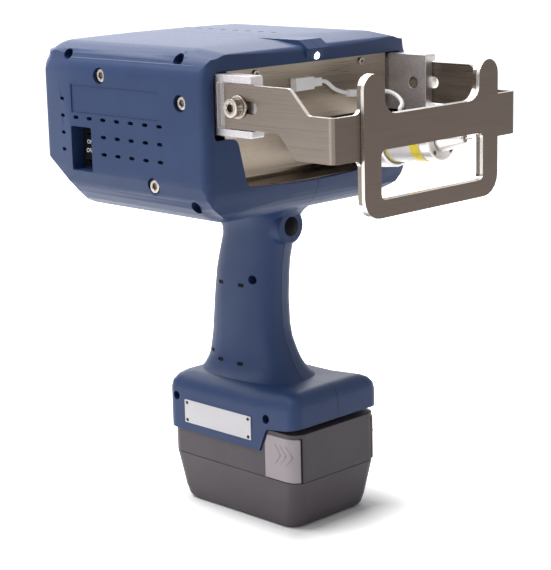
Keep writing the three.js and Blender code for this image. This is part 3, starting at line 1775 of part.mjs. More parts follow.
function terminalBlock() {
  const body = box(
    -terminalHalfWidth,
    terminalHalfWidth,
    terminalFrontY,
    terminalRearY,
    batteryTopZ - terminalHeight,
    batteryTopZ,
  );
  const neck = box(
    -harnessSlotHalf,
    harnessSlotHalf,
    harnessSlotFrontY,
    harnessSlotRearY,
    batteryTopZ - gap,
    skirtTopZ + wall,
  );
  const bladeSlot = box(
    -bladeSpacing - bladeHeight,
    bladeSpacing + bladeHeight,
    terminalFrontY - overrun,
    terminalFrontY + bladeHeight + gap,
    bladeZ - gap,
    bladeZ + bladeHeight + gap,
  );
  return cut(join([body, neck]), [bladeSlot]);
}

function terminalBlades() {
  const half = bladeThickness / 2;
  const bar = box(
    -bladeSpacing - half,
    bladeSpacing + half,
    terminalFrontY + gap,
    terminalFrontY + bladeHeight,
    bladeZ,
    bladeZ + bladeHeight,
  );
  const blades = contactPlaces.map((x) =>
    box(
      x - half,
      x + half,
      terminalRecessFrontY + 2 * bladeThickness,
      terminalFrontY + bladeHeight / 2,
      bladeZ,
      bladeZ + bladeHeight,
    ),
  );
  return join([bar, ...blades]);
}

function batteryTerminals() {
  const floor = batteryTopZ - terminalHeight - caseWall + gap;
  const inner = bladeThickness / 2 + gap;
  const y0 = terminalRecessFrontY + gap;
  const y1 = terminalFrontY - gap;
  const reach = bladeSpacing + inner + leafThickness;
  const bar = box(-reach, reach, y0, y1, floor, floor + leafThickness);
  const leaves = contactPlaces.flatMap((x) =>
    [-1, 1].map((side) =>
      box(x + side * inner, x + side * (inner + leafThickness), y0, y1, floor, bladeZ + bladeHeight),
    ),
  );
  return join([bar, ...leaves]);
}

// The lead: plug on the cover's face, a sleeve, and one cable to the stylus
const swing = THREE.MathUtils.degToRad(swingHomeAngle);
const leadEntry = (height) =>
  new THREE.Vector3(
    stylusHomeX,
    pivotY - leadEntryAt * Math.cos(swing) + height * Math.sin(swing),
    stylusZ + leadEntryAt * Math.sin(swing) + height * Math.cos(swing),
  );

function leadPlug() {
  const rear = coverFaceY - gap;
  const bottom = leadZ - plugHeight / 2;
  const body = box(plugLeftX, plugRightX - plugNose, rear - plugDepth, rear, bottom, bottom + plugHeight);
  const nose = box(
    plugRightX - plugNose - gap,
    plugRightX,
    rear - plugDepth * 0.8,
    rear - plugDepth * 0.1,
    bottom + plugHeight / 6,
    bottom + (plugHeight * 5) / 6,
  );
  return join([body, nose]);
}

const plugMiddleY = coverFaceY - gap - plugDepth * 0.45;
const entryTop = solenoidRadius + leadEntryHeight;
const sleeveRoute = [
  [33, -51.6, leadZ - 10.6],
  [42, -53.4, leadZ - 11.4],
  [51, -55.4, leadZ - 12],
].map((p) => new THREE.Vector3(...p));
const leadRoute = [
  new THREE.Vector3(plugRightX + gap, plugMiddleY, leadZ),
  new THREE.Vector3(plugRightX + 4 * leadRadius, plugMiddleY, leadZ - leadRadius / 2),
  new THREE.Vector3(22, -49.8, leadZ - 6.8),
  ...sleeveRoute,
  new THREE.Vector3(59, -58, leadZ - 11.6),
  new THREE.Vector3(64, -65, leadZ - 11.8),
  new THREE.Vector3(63, -75, leadZ - 15.5),
  new THREE.Vector3(56, -84, leadZ - 19),
  leadEntry(entryTop + 3 * leadRadius),
  leadEntry(entryTop + gap),
];

// Assembly
const housing = housingBody();
piece("right_shell", rightShell(housing), "housing");
piece("left_shell", leftShell(housing), "housing");
piece("inner_frame", innerFrame(), "aluminium");
piece("front_cover", frontCover(), "brushedSteel");
piece("upper_guide_rod", guideRod(upperRodY, upperRodZ), "brightSteel");
piece("lower_guide_rod", guideRod(lowerRodY, lowerRodZ), "brightSteel");
piece("x_lead_screw", leadScrew(), "brightSteel");
piece("x_motor", xMotor(), "black");
piece("x_carriage", xCarriage(), "aluminium");
piece("standoff_bracket", standoffBracket(), "brushedSteel");
piece("contact_plate", contactPlate(), "brushedSteel");

for (const [hand, side] of [
  ["right", -1],
  ["left", 1],
]) {
  piece(`${hand}_slide_block`, slideBlock(side), "aluminium");
  piece(`${hand}_clamp_washer`, clampWasher(side), "brightSteel");
  piece(`${hand}_clamp_screw`, clampScrew(side), "brightSteel");
  piece(`${hand}_latch`, latchSpace(side, 0, 0), "latchGrey");
  piece(`${hand}_latch_spring`, latchSpring(side), "brightSteel");
}

headScrews.forEach((place, i) => piece(`shell_screw_${i + 1}`, headScrew(place), "brightSteel"));
coverScrewPlaces.forEach((place, i) => piece(`cover_screw_${i + 1}`, coverScrew(place), "brightSteel"));
floorScrewPlaces.forEach((place, i) => piece(`cover_screw_${i + 3}`, floorScrew(place), "brightSteel"));

const stylus = new THREE.Group();
stylus.position.set(stylusHomeX, pivotY, stylusZ);
stylus.rotation.x = -swing;
part.add(stylus);
piece("swing_motor", swingMotor(), "black", stylus);
piece("pivot_shaft", pivotShaft(), "brightSteel", stylus);
piece("stylus_holder", stylusHolder(), "aluminium", stylus);
piece("solenoid_body", solenoidBody(), "white", stylus);
piece("solenoid_cap", solenoidCap(), "brightSteel", stylus);
piece("stylus_nozzle", stylusNozzle(), "brightSteel", stylus);
piece("stylus_pin", stylusPin(), "brightSteel", stylus);
piece("return_spring", returnSpring(), "brightSteel", stylus);

piece("trigger_button", triggerButton(), "black");
piece("trigger_spring", triggerSpring(), "brightSteel");
piece("trigger_switch", triggerSwitch(), "black");
piece("power_switch_body", powerSwitchBody(), "black");
piece("power_rocker", powerRocker(), "black");
piece("lamp", lamp(), "lamp");
piece("display_window", rearPanel(displayHalfWidth, displayBottomZ, displayTopZ), "lens");
piece("keypad", rearPanel(keypadHalfWidth, keypadBottomZ, keypadTopZ), "black");
piece("display_module", displayModule(), "black");
piece("control_board", controlBoard(), "board");
piece("power_harness", tube(harnessRoute, harnessRadius, 0, 18), "black");
piece("lead_plug", leadPlug(), "white");
piece("lead_sleeve", tube(sleeveRoute, sleeveRadius, leadRadius + gap, 5), "white");
piece("stylus_lead", tube(leadRoute, leadRadius, 0, 32), "white");
piece("battery_lower_case", lowerCase(), "batteryGrey");
piece("battery_upper_case", upperCase(), "batteryGrey");
piece("cell_pack", cellPack(), "cell");
piece("battery_terminals", batteryTerminals(), "copper");
piece("base_terminal_block", terminalBlock(), "black");
piece("terminal_blades", terminalBlades(), "copper");

export default part;
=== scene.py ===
"""Dresses the hand-held marking machine: camera, soft studio, finishes, and the small pieces that show."""

import json
from math import atan2, cos, pi, radians, sin

import bmesh
import bpy
from mathutils import Matrix, Vector
from mathutils.bvhtree import BVHTree
from mathutils.geometry import interpolate_bezier

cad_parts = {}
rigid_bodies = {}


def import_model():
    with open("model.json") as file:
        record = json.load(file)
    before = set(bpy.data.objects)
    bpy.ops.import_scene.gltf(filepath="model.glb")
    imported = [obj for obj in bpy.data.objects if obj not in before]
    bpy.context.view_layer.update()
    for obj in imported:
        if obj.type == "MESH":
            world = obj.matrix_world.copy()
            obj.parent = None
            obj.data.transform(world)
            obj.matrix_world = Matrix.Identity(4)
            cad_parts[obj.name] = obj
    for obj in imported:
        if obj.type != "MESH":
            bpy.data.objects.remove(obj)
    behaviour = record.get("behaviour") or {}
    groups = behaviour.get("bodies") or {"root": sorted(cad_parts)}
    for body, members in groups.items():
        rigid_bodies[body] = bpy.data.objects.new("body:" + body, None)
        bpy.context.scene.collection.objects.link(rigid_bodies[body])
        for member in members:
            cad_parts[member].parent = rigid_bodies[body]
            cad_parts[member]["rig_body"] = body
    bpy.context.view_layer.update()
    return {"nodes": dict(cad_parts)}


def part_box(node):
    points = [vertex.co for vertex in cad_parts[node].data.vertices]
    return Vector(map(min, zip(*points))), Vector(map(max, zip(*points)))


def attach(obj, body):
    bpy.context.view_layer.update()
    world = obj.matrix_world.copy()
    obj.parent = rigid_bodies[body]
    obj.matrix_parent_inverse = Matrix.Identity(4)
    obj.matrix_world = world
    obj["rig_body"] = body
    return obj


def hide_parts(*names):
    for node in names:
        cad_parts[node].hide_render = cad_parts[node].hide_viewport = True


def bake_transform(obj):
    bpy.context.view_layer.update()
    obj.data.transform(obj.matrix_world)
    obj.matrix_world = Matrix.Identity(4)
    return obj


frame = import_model()
nodes = frame["nodes"]

MM = 0.001
SIDES = (("right", -1), ("left", 1))
# A look inwards from this far out on either side first meets the outer skin
OUTSIDE = 120


def middle(node):
    """The middle of a CAD node's box at rest, to a hundredth of a millimetre."""
    return [round((low + high) / 2 / MM, 2) for low, high in zip(*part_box(node))]


# Camera, fitted to the photograph's straight edges

FOCAL_PIXELS = 1737
FRAME_WIDTH, FRAME_HEIGHT = 551, 570
SENSOR_MM = 36
CAMERA_PLACE = Vector((-0.894, -0.907, 0.457))
CAMERA_YAW, CAMERA_PITCH, CAMERA_ROLL = radians(44.78), radians(12.73), radians(-1.34)
CLIP_START, CLIP_END = 0.05, 50


def make_camera():
    level = cos(CAMERA_PITCH)
    forward = Vector((sin(CAMERA_YAW) * level, cos(CAMERA_YAW) * level, -sin(CAMERA_PITCH)))
    right = Vector((cos(CAMERA_YAW), -sin(CAMERA_YAW), 0))
    up = right.cross(forward)
    across = right * cos(CAMERA_ROLL) + up * sin(CAMERA_ROLL)
    upward = up * cos(CAMERA_ROLL) - right * sin(CAMERA_ROLL)
    turn = Matrix((across, upward, -forward)).transposed()
    lens = bpy.data.cameras.new("camera")
    lens.sensor_width = SENSOR_MM
    lens.lens = FOCAL_PIXELS / max(FRAME_WIDTH, FRAME_HEIGHT) * SENSOR_MM
    lens.clip_start, lens.clip_end = CLIP_START, CLIP_END
    camera = bpy.data.objects.new("camera", lens)
    camera.matrix_world = Matrix.Translation(CAMERA_PLACE) @ turn.to_4x4()
    bpy.context.scene.collection.objects.link(camera)
    bpy.context.scene.camera = camera


make_camera()

# Finishes


def linear(hex_colour):
    """An sRGB hex colour as linear red, green and blue, and a full alpha."""
    parts = [int(hex_colour[i : i + 2], 16) / 255 for i in (1, 3, 5)]
    return [c / 12.92 if c <= 0.04045 else ((c + 0.055) / 1.055) ** 2.4 for c in parts] + [1]


def add(tree, kind, inputs=None, **settings):
    """Adds a node, gives it its settings, and sets or links its inputs."""
    made = tree.nodes.new(kind)
    for name, value in settings.items():
        setattr(made, name, value)
    for name, value in (inputs or {}).items():
        if isinstance(value, bpy.types.NodeSocket):
            tree.links.new(value, made.inputs[name])
        else:
            made.inputs[name].default_value = value
    return made


def new_finish(name):
    material = bpy.data.materials.new(name)
    material.use_nodes = True
    material.node_tree.nodes.clear()
    return material, material.node_tree


def grain(tree, size_mm, detail, stretch=(1, 1, 1)):
    """Noise whose grains are size_mm across, stretched along an axis of the object."""
    place = add(tree, "ShaderNodeTexCoord").outputs["Object"]
    scaled = add(tree, "ShaderNodeMapping", {"Vector": place, "Scale": [1 / s for s in stretch]})
    noise = add(
        tree,
        "ShaderNodeTexNoise",
        {
            "Vector": scaled.outputs["Vector"],
            "Scale": 1 / MM / size_mm,
            "Detail": detail,
            "Roughness": 0.55,
        },
    )
    return noise.outputs["Fac"]


def two_tone(tree, pattern, colour, other, share=1.0, start=0.3, end=0.7):
    """A colour that gives way to as much as share of the other where the pattern rises from start to end."""
    amount = add(
        tree,
        "ShaderNodeMapRange",
        {"Value": pattern, "From Min": start, "From Max": end, "To Min": 0, "To Max": share},
    )
    # Inputs 6 and 7 are the two colours, and output 2 is their mix
    mixed = add(
        tree, "ShaderNodeMix", {"Factor": amount.outputs["Result"], 6: colour, 7: other}, data_type="RGBA"
    )
    return mixed.outputs[2]


def textured(tree, rough_pattern, roughness, relief_pattern, relief_mm, strength=1.0):
    """Roughness that varies between two values with one pattern, and relief that follows another."""
    low, high = roughness
    varied = add(
        tree,
        "ShaderNodeMapRange",
        {"Value": rough_pattern, "From Min": 0.3, "From Max": 0.7, "To Min": low, "To Max": high},
    )
    relief = add(
        tree,
        "ShaderNodeBump",
        {"Height": relief_pattern, "Distance": relief_mm * MM, "Strength": strength},
    )
    return {"Roughness": varied.outputs["Result"], "Normal": relief.outputs["Normal"]}


def close_finish(tree, inputs):
    surface = add(tree, "ShaderNodeBsdfPrincipled", inputs)
    add(tree, "ShaderNodeOutputMaterial", {"Surface": surface.outputs["BSDF"]})


def moulded_plastic(name, base, other, roughness, gloss=0.25):
    """Injection-moulded plastic from a spark-eroded mould: a fine pebbled grain that breaks up the gloss,
    and a faint cloudiness in the colour. The real grain is about 0.2 mm; it is drawn coarser so that it
    shows."""
    material, tree = new_finish(name)
    pebble = grain(tree, size_mm=0.7, detail=2)
    cloud = grain(tree, size_mm=34, detail=4)
    speck = grain(tree, size_mm=1.6, detail=2)
    clouded = two_tone(tree, cloud, linear(base), linear(other), share=0.55)
    specked = two_tone(tree, speck, clouded, linear(other), share=0.22, start=0.45, end=0.75)
    close_finish(
        tree,
        {
            "Base Color": specked,
            "Specular IOR Level": gloss,
            **textured(tree, pebble, (roughness - 0.07, roughness + 0.07), pebble, relief_mm=0.035),
        },
    )
    return material


def brushed_steel(name, base, other, along, roughness):
    """Stainless steel sheet after a belt: fine parallel scratches that stretch the reflections across them.
    Real scratches are about 0.05 mm apart; they are drawn at half a millimetre so that they show."""
    material, tree = new_finish(name)
    line_mm, stroke_mm, broad_mm, broad_stroke_mm = 0.5, 60, 9, 36
    scratch_stretch = [stroke_mm / line_mm if axis == along else 1 for axis in "xyz"]
    broad_stretch = [broad_stroke_mm / broad_mm if axis == along else 1 for axis in "xyz"]
    scratch = grain(tree, line_mm, detail=4, stretch=scratch_stretch)
    broad = grain(tree, broad_mm, detail=2, stretch=broad_stretch)
    scratched = two_tone(tree, scratch, linear(base), linear(other), end=0.72)
    touch = textured(
        tree, scratch, (roughness - 0.05, roughness + 0.06), scratch, relief_mm=0.006, strength=0.5
    )
    close_finish(
        tree,
        {
            "Base Color": two_tone(tree, broad, scratched, linear(other), share=0.35),
            "Metallic": 1.0,
            "Anisotropic": 0.5,
            **touch,
        },
    )
    return material


def plain_metal(name, base, other, roughness, mottle_mm, relief_mm):
    """Metal with a small irregular mottle: mill-finish or cut aluminium, turned or plated steel, brass."""
    material, tree = new_finish(name)
    mottle = grain(tree, mottle_mm, detail=4)
    close_finish(
        tree,
        {
            "Base Color": two_tone(tree, mottle, linear(base), linear(other)),
            "Metallic": 1.0,
            **textured(tree, mottle, (roughness - 0.06, roughness + 0.08), mottle, relief_mm, strength=0.5),
        },
    )
    return material


def smooth_coat(name, base, other, roughness, coat=0.0):
    """Enamel, print or a smooth moulding: even colour, with dust and fine orange peel only just there."""
    material, tree = new_finish(name)
    peel = grain(tree, size_mm=2.4, detail=2)
    dust = grain(tree, size_mm=12, detail=4)
    close_finish(
        tree,
        {
            "Base Color": two_tone(tree, dust, linear(base), linear(other), share=0.6),
            "Coat Weight": coat,
            "IOR": 1.5,
            **textured(tree, dust, (roughness - 0.04, roughness + 0.06), peel, relief_mm=0.006, strength=0.5),
        },
    )
    return material


def lit_lens(name, colour, strength):
    """A lit lamp behind a clear dome: it glows evenly, with a small glint."""
    material, tree = new_finish(name)
    close_finish(
        tree,
        {
            "Base Color": linear(colour),
            "Roughness": 0.15,
            "Emission Color": linear(colour),
            "Emission Strength": strength,
        },
    )
    return material


def circuit_laminate(name):
    """Glass-epoxy board: green solder mask, with fine copper tracks paler under it."""
    material, tree = new_finish(name)
    # The pattern's tracks lie a quarter of this apart
    unit_mm = 6.25
    place = add(tree, "ShaderNodeTexCoord").outputs["Object"]
    tracks = add(
        tree,
        "ShaderNodeTexBrick",
        {
            "Vector": place,
            "Scale": 1 / MM / unit_mm,
            "Mortar Size": 0.035,
            "Color1": linear("#1f5a3a"),
            "Color2": linear("#22613f"),
            "Mortar": linear("#4f9168"),
        },
    )
    close_finish(tree, {"Base Color": tracks.outputs["Color"], "Roughness": 0.42})
    return material


# Most have a colour, the other one that it varies to, and a roughness. The scratches of brushed steel run
# along the given axis, and a plain metal also has the size and the relief of its mottle in millimetres.
finish = {
    "housing": moulded_plastic("navy_moulded_abs", "#26395f", "#2f436a", 0.46),
    "battery_upper": moulded_plastic("warm_grey_moulded_abs_upper", "#4f4a4f", "#5a5459", 0.5),
    "battery_lower": moulded_plastic("warm_grey_moulded_abs_lower", "#514b4f", "#5b5559", 0.48),
    "latch": moulded_plastic("light_grey_moulded_abs", "#a89fa3", "#b2a9ad", 0.5),
    "black": moulded_plastic("black_moulded_nylon", "#08090b", "#101114", 0.6, gloss=0.06),
    "rubber": moulded_plastic("black_cable_rubber", "#16171a", "#26272a", 0.65),
    "key": moulded_plastic("dark_grey_silicone_key", "#3a3d44", "#464a52", 0.6),
    "white": smooth_coat("white_moulded_nylon", "#fcfbfb", "#f0eeec", 0.4),
    "enamel": smooth_coat("white_enamelled_steel", "#efebe9", "#e3deda", 0.3, coat=0.3),
    "black_enamel": smooth_coat("black_enamelled_steel", "#1a1b1f", "#26282d", 0.35),
    "yellow": smooth_coat("yellow_printed_band", "#ffe51a", "#f8dc14", 0.35),
    "white_ink": smooth_coat("white_printed_ink", "#f2f2f2", "#e4e4e4", 0.5),
    "name_plate": smooth_coat("matt_enamelled_plate", "#d6d4d7", "#dedcde", 0.5),
    "cells": smooth_coat("shrink_wrapped_cells", "#2f6f4d", "#3d8259", 0.32),
    "lens": smooth_coat("smoked_acrylic_window", "#0d1114", "#171c20", 0.08, coat=0.6),
    "dark": smooth_coat("blackened_rivet_head", "#101318", "#181b20", 0.7),
    "arm_steel": brushed_steel("brushed_stainless_arm", "#6f665f", "#7c736b", "y", 0.3),
    # A darker copy of the brushed stainless, a painted dark reflection: on the contact plate and bracket
    # front faces
    "plate_steel_painted_reflection": brushed_steel("brushed_stainless_painted_dark_reflection", "#534a43", "#5d534c", "x", 0.38),
    "cover_steel": brushed_steel("brushed_stainless_cover", "#978b7d", "#a59a8c", "x", 0.3),
    # Much paler steel on cut edges: partly the edge's own unbrushed finish, mostly a painted highlight
    "cut_edge_painted_highlight": plain_metal("laser_cut_edge_painted_highlight", "#cbc5bf", "#e2ddd8", 0.3, 0.8, 0.01),
    # Darker steel inside screw sockets and round their mouths: painted shade in the recess
    "socket": plain_metal("socket_steel_painted_shade", "#68615b", "#857d76", 0.45, 1.2, 0.004),
    "screw_steel": plain_metal("plated_screw_steel", "#a79f97", "#b9b1a9", 0.24, 1.2, 0.004),
    "turned_steel": plain_metal("turned_and_plated_steel", "#c9c4c1", "#d6d2cf", 0.34, 1.2, 0.003),
    "aluminium": plain_metal("mill_finish_aluminium", "#aeaaae", "#cbc7ca", 0.42, 1.3, 0.02),
    "machined": plain_metal("machined_aluminium", "#b5b1b0", "#cfcbca", 0.36, 1.0, 0.01),
    "brass": plain_metal("contact_brass", "#b08a4c", "#c9a564", 0.3, 1.0, 0.01),
    "board": circuit_laminate("green_circuit_laminate"),
    "lit": lit_lens("lit_lamp_lens", "#ffffff", 6.0),
}

# Ways of making pieces

# Steps round a full turn, and the least angle in degrees at which a turned piece keeps a sharp edge
TURNED_STEPS = 48
TURNED_CREASE = 34
# Points that merge lie closer than this, in metres
CLOSE = 1e-6


def new_piece(name, mesh, body, surfaces):
    """Turns a bmesh into a piece that rides on a body, or on none."""
    data = bpy.data.meshes.new(name)
    mesh.to_mesh(data)
    mesh.free()
    for surface in surfaces:
        data.materials.append(finish[surface])
    made = bpy.data.objects.new(name, data)
    bpy.context.scene.collection.objects.link(made)
    if body:
        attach(made, body)
    return made


def shade(made, edge_mm, crease=30):
    """Smooth shading, with rounded corners where two faces meet at more than crease degrees."""
    for polygon in made.data.polygons:
        polygon.use_smooth = True
    if edge_mm > 0:
        rounding = made.modifiers.new("rounded corners", "BEVEL")
        rounding.width = edge_mm * MM
        rounding.segments = 2
        rounding.limit_method = "ANGLE"
        rounding.angle_limit = radians(crease)
        rounding.use_clamp_overlap = True
        rounding.harden_normals = True
    flat = made.modifiers.new("flat faces stay flat", "WEIGHTED_NORMAL")
    flat.keep_sharp = True
    flat.weight = 100


def merged_copy(node, dissolve):
    """A copy of a CAD node's mesh, merged, with faces joined that meet at less than dissolve degrees."""
    mesh = bmesh.new()
    mesh.from_mesh(nodes[node].data)
    bmesh.ops.remove_doubles(mesh, verts=mesh.verts, dist=2 * CLOSE)
    if dissolve:
        bmesh.ops.dissolve_limit(mesh, angle_limit=radians(dissolve), verts=mesh.verts, edges=mesh.edges)
    return mesh


def dress(node, surface, edge_mm, crease=35, others=(), dissolve=0.4):
    """Stands a merged, rounded copy in for a CAD node. others = [(surface, test)] gives the faces that pass
    a test another finish, as on a cut edge or in a milled pocket."""
    mesh = merged_copy(node, dissolve)
    for i, (_, test) in enumerate(others):
        for face in mesh.faces:
            if test(face):
                face.material_index = i + 1
    surfaces = [surface] + [other for other, _ in others]
    made = new_piece(node + "_finished", mesh, nodes[node]["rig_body"], surfaces)
    shade(made, edge_mm, crease)
    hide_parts(node)


def facing(place, outward, upward=(0, 0, 1)):
    """Stands a piece at a place in millimetres, its Z axis pointing outward and its Y axis upward."""
    z = Vector(outward).normalized()
    x = Vector(upward).cross(z).normalized()
    turn = Matrix((x, z.cross(x), z)).transposed()
    return Matrix.Translation(Vector(place) * MM) @ turn.to_4x4()


def spun(profile, steps=TURNED_STEPS):
    """A turned shape about Z from its profile, given as (radius, height) in millimetres."""
    mesh = bmesh.new()
    verts = [mesh.verts.new((radius * MM, 0, height * MM)) for radius, height in profile]
    edges = [mesh.edges.new(pair) for pair in zip(verts, verts[1:])]
    bmesh.ops.spin(
        mesh, geom=verts + edges, cent=(0, 0, 0), axis=(0, 0, 1), angle=2 * pi, steps=steps, use_merge=True
    )
    bmesh.ops.remove_doubles(mesh, verts=mesh.verts, dist=CLOSE)
    bmesh.ops.recalc_face_normals(mesh, faces=mesh.faces)
    return mesh


def slab(width, height, depth, corner):
    """A flat plate with rounded corners, its back on Z = 0, in millimetres."""
    mesh = bmesh.new()
    bmesh.ops.create_cube(mesh, size=MM)
    stand = Matrix.Translation((0, 0, depth * MM / 2)) @ Matrix.Diagonal((width, height, depth, 1))
    bmesh.ops.transform(mesh, matrix=stand, verts=mesh.verts)
    upright = [e for e in mesh.edges if abs(e.verts[0].co.z - e.verts[1].co.z) > depth * MM / 2]
    bmesh.ops.bevel(
        mesh, geom=upright, offset=corner * MM, segments=5, profile=0.5, affect="EDGES", material=-1
    )
    return mesh


def screw(name, body, seat, outward, sizes, node=None):
    """A screw with a socket, its head standing on the seat. A six-lobed socket waves in and out, and a
    hexagonal one has flats."""
    head_radius, height, chamfer = sizes["head_radius"], sizes["head_height"], sizes["chamfer"]
    socket_radius, floor = sizes["socket_radius"], height - sizes["socket_depth"]
    shank_radius, shank_end = sizes["shank_radius"], -sizes["shank_length"]
    lead_in, near = 0.3, 0.01
    turned_share, mouth_share, wave_share, rim_share = 0.3, 1.25, 0.16, 1.1
    profile = [
        (0, shank_end),
        (shank_radius, shank_end),
        (shank_radius, 0),
        (head_radius, 0),
        (head_radius, height - chamfer),
        (head_radius - chamfer * turned_share, height - chamfer * turned_share),
        (head_radius - chamfer, height),
        (socket_radius * mouth_share, height),
        (socket_radius, height - lead_in),
        (socket_radius, floor),
        (0, floor - lead_in),
    ]
    mesh = spun(profile)
    for vert in mesh.verts:
        reach = Vector((vert.co.x, vert.co.y)).length / MM
        if abs(reach - socket_radius) < near and vert.co.z > 0:
            angle = atan2(vert.co.y, vert.co.x)
            if sizes["six_lobed"]:
                share = 1 + wave_share * cos(6 * angle)
            else:
                share = cos(pi / 6) / cos((angle % (pi / 3)) - pi / 6)
            vert.co.x *= share
            vert.co.y *= share
    # Faces in and round the socket take the darker socket steel: painted shade
    for face in mesh.faces:
        place = face.calc_center_median()
        if Vector((place.x, place.y)).length < socket_radius * rim_share * MM and place.z > 0:
            face.material_index = 1
    mesh.transform(facing(seat, outward))
    made = new_piece(name, mesh, body, ["screw_steel", "socket"])
    shade(made, edge_mm=0)
    made.data.set_sharp_from_angle(angle=radians(TURNED_CREASE))
    if node:
        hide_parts(node)


def smooth_line(route, steps):
    """Points on a smooth line through the route, steps to each stretch."""
    points = [Vector(p) for p in route]
    ends = [points[0] * 2 - points[1], *points, points[-1] * 2 - points[-2]]
    line = []
    for before, start, end, after in zip(ends, ends[1:], ends[2:], ends[3:]):
        reach = (end - start).length
        go = (end - before).normalized() * reach / 3
        come = (after - start).normalized() * reach / 3
        line += interpolate_bezier(start, start + go, end - come, end, steps + 1)[:-1]
    return line + [points[-1]]


def strand(node, body, route, radius, surface, ring, steps):
    """A round strand in the place of a CAD node, on a smooth line through the route's points, in metres."""
    line = smooth_line(route, steps)
    mesh = bmesh.new()
    rings = []
    side = None
    for i, point in enumerate(line):
        along = (line[min(i + 1, len(line) - 1)] - line[max(i - 1, 0)]).normalized()
        if side is None:
            side = along.cross(Vector((0, 0, 1))).normalized()
        else:
            side = (side - along * side.dot(along)).normalized()
        up = along.cross(side)
        circle = bmesh.ops.create_circle(mesh, cap_ends=False, segments=ring, radius=radius)["verts"]
        turn = Matrix((side, up, along)).transposed().to_4x4()
        bmesh.ops.transform(mesh, matrix=Matrix.Translation(point) @ turn, verts=circle)
        rings.append(list({e for v in circle for e in v.link_edges}))
    for first, second in zip(rings, rings[1:]):
        bmesh.ops.bridge_loops(mesh, edges=first + second)
    bmesh.ops.holes_fill(mesh, edges=mesh.edges)
    bmesh.ops.recalc_face_normals(mesh, faces=mesh.faces)
    made = new_piece(node + "_finished", mesh, body, [surface])
    shade(made, edge_mm=0)
    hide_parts(node)
    return made, line


def spring(node, body, start, end, outer_radius, turns, wire_radius=0.4):
    """A coil spring of round wire about the line from start to end, in millimetres."""
    axis = end - start
    seat = facing(start, axis, (1, 0, 0))
    steps_a_turn = 24
    steps = int(turns * steps_a_turn)
    coil_radius = outer_radius - wire_radius
    route = []
    for i in range(steps + 1):
        angle = 2 * pi * i / steps_a_turn
        rise = wire_radius + (axis.length - 2 * wire_radius) * i / steps
        route.append(seat @ (Vector((coil_radius * cos(angle), coil_radius * sin(angle), rise)) * MM))
    strand(node, body, route, wire_radius * MM, "screw_steel", ring=8, steps=1)


def lettering(name, text, body, place, outward, height, surface):
    """Raised print: upright letters of a given capital height, in millimetres."""
    capital_share, half_depth, boldness = 0.69, 0.025, 0.02
    curve = bpy.data.curves.new(name, "FONT")
    curve.body = text
    curve.size = height / capital_share
    curve.align_x, curve.align_y = "CENTER", "CENTER"
    curve.extrude = half_depth
    curve.offset = boldness
    holder = bpy.data.objects.new(name + "_text", curve)
    bpy.context.scene.collection.objects.link(holder)
    data = bpy.data.meshes.new_from_object(holder)
    bpy.data.objects.remove(holder)
    mesh = bmesh.new()
    mesh.from_mesh(data)
    bmesh.ops.scale(mesh, vec=(MM, MM, MM), verts=mesh.verts)
    mesh.transform(facing(place, outward))
    new_piece(name, mesh, body, [surface])


def on_skin(piece, start, direction):
    """Where a line from a place in millimetres first meets a piece, and the outward direction there."""
    skin = BVHTree.FromObject(bpy.data.objects[piece], bpy.context.evaluated_depsgraph_get())
    place, normal, *_ = skin.ray_cast(Vector(start) * MM, Vector(direction))
    return place / MM, normal


# Housing: the two moulded halves

HEAD_HALF, HEAD_TOP, HEAD_BOTTOM = 105, 355.5, 231.4
HEAD_FRONT, HEAD_REAR = -53, 140
# The top is crowned, and this much lower at its sides
CROWN = 1.6
WALL = 3
# Old and new radius of each long edge that is rounded more fully
TOP_SIDE_RADII = (12, 22)
BELLY_SIDE_RADII = (29, 34)
TOP_REAR_RADII = (6, 24)
BELLY_FRONT_RADII = (16, 26)
# Places on the slanting plane that cuts the lower rear corner, for the left half
TRIM_PLACES = [(97, 146, 275.7), (HEAD_HALF, 98, 249.5), (60, 133, HEAD_BOTTOM)]
# The rear of the head starts at this Y, and its underside lies above this Z
TAIL_Y, TAIL_Z = 60, 230.5
# Screws in the right half, and the old and new radius of their counterbores
SHELL_SCREWS = ["shell_screw_1", "shell_screw_2", "shell_screw_3"]
COUNTERBORE_RADII = (5.2, 6.1)
# Deep holes in both sides of the head, as (y, z), and their old and new radius
DEEP_HOLES = [(-17, 349.7), (102, 347.9), (-29.6, 244.3)]
DEEP_HOLE_RADII = (3.5, 4.9)
# Slots in both sides of the grip, as (y, z). Each is a black plate just proud of the skin: painted shade
# standing in for the dark inside of the slot
GRIP_SLOTS = [(33.9, 170.4), (11.4, 170.9), (32.8, 111), (10.8, 110.9), (45.5, 115.3)]
GRIP_SLOT_WIDTH, GRIP_SLOT_HEIGHT, GRIP_SLOT_DEPTH, GRIP_SLOT_CORNER = 6.2, 2.8, 0.5, 1.2
GRIP_SLOT_PROUD = 0.08


def cut_near(mesh, wanted, place, normal):
    """Adds an edge where a plane crosses the faces that have a corner in the wanted place."""
    faces = [f for f in mesh.faces if any(wanted(v.co) for v in f.verts)]
    around = {v for f in faces for v in f.verts} | {e for f in faces for e in f.edges}
    bmesh.ops.bisect_plane(mesh, geom=faces + list(around), dist=CLOSE / 10, plane_co=place, plane_no=normal)


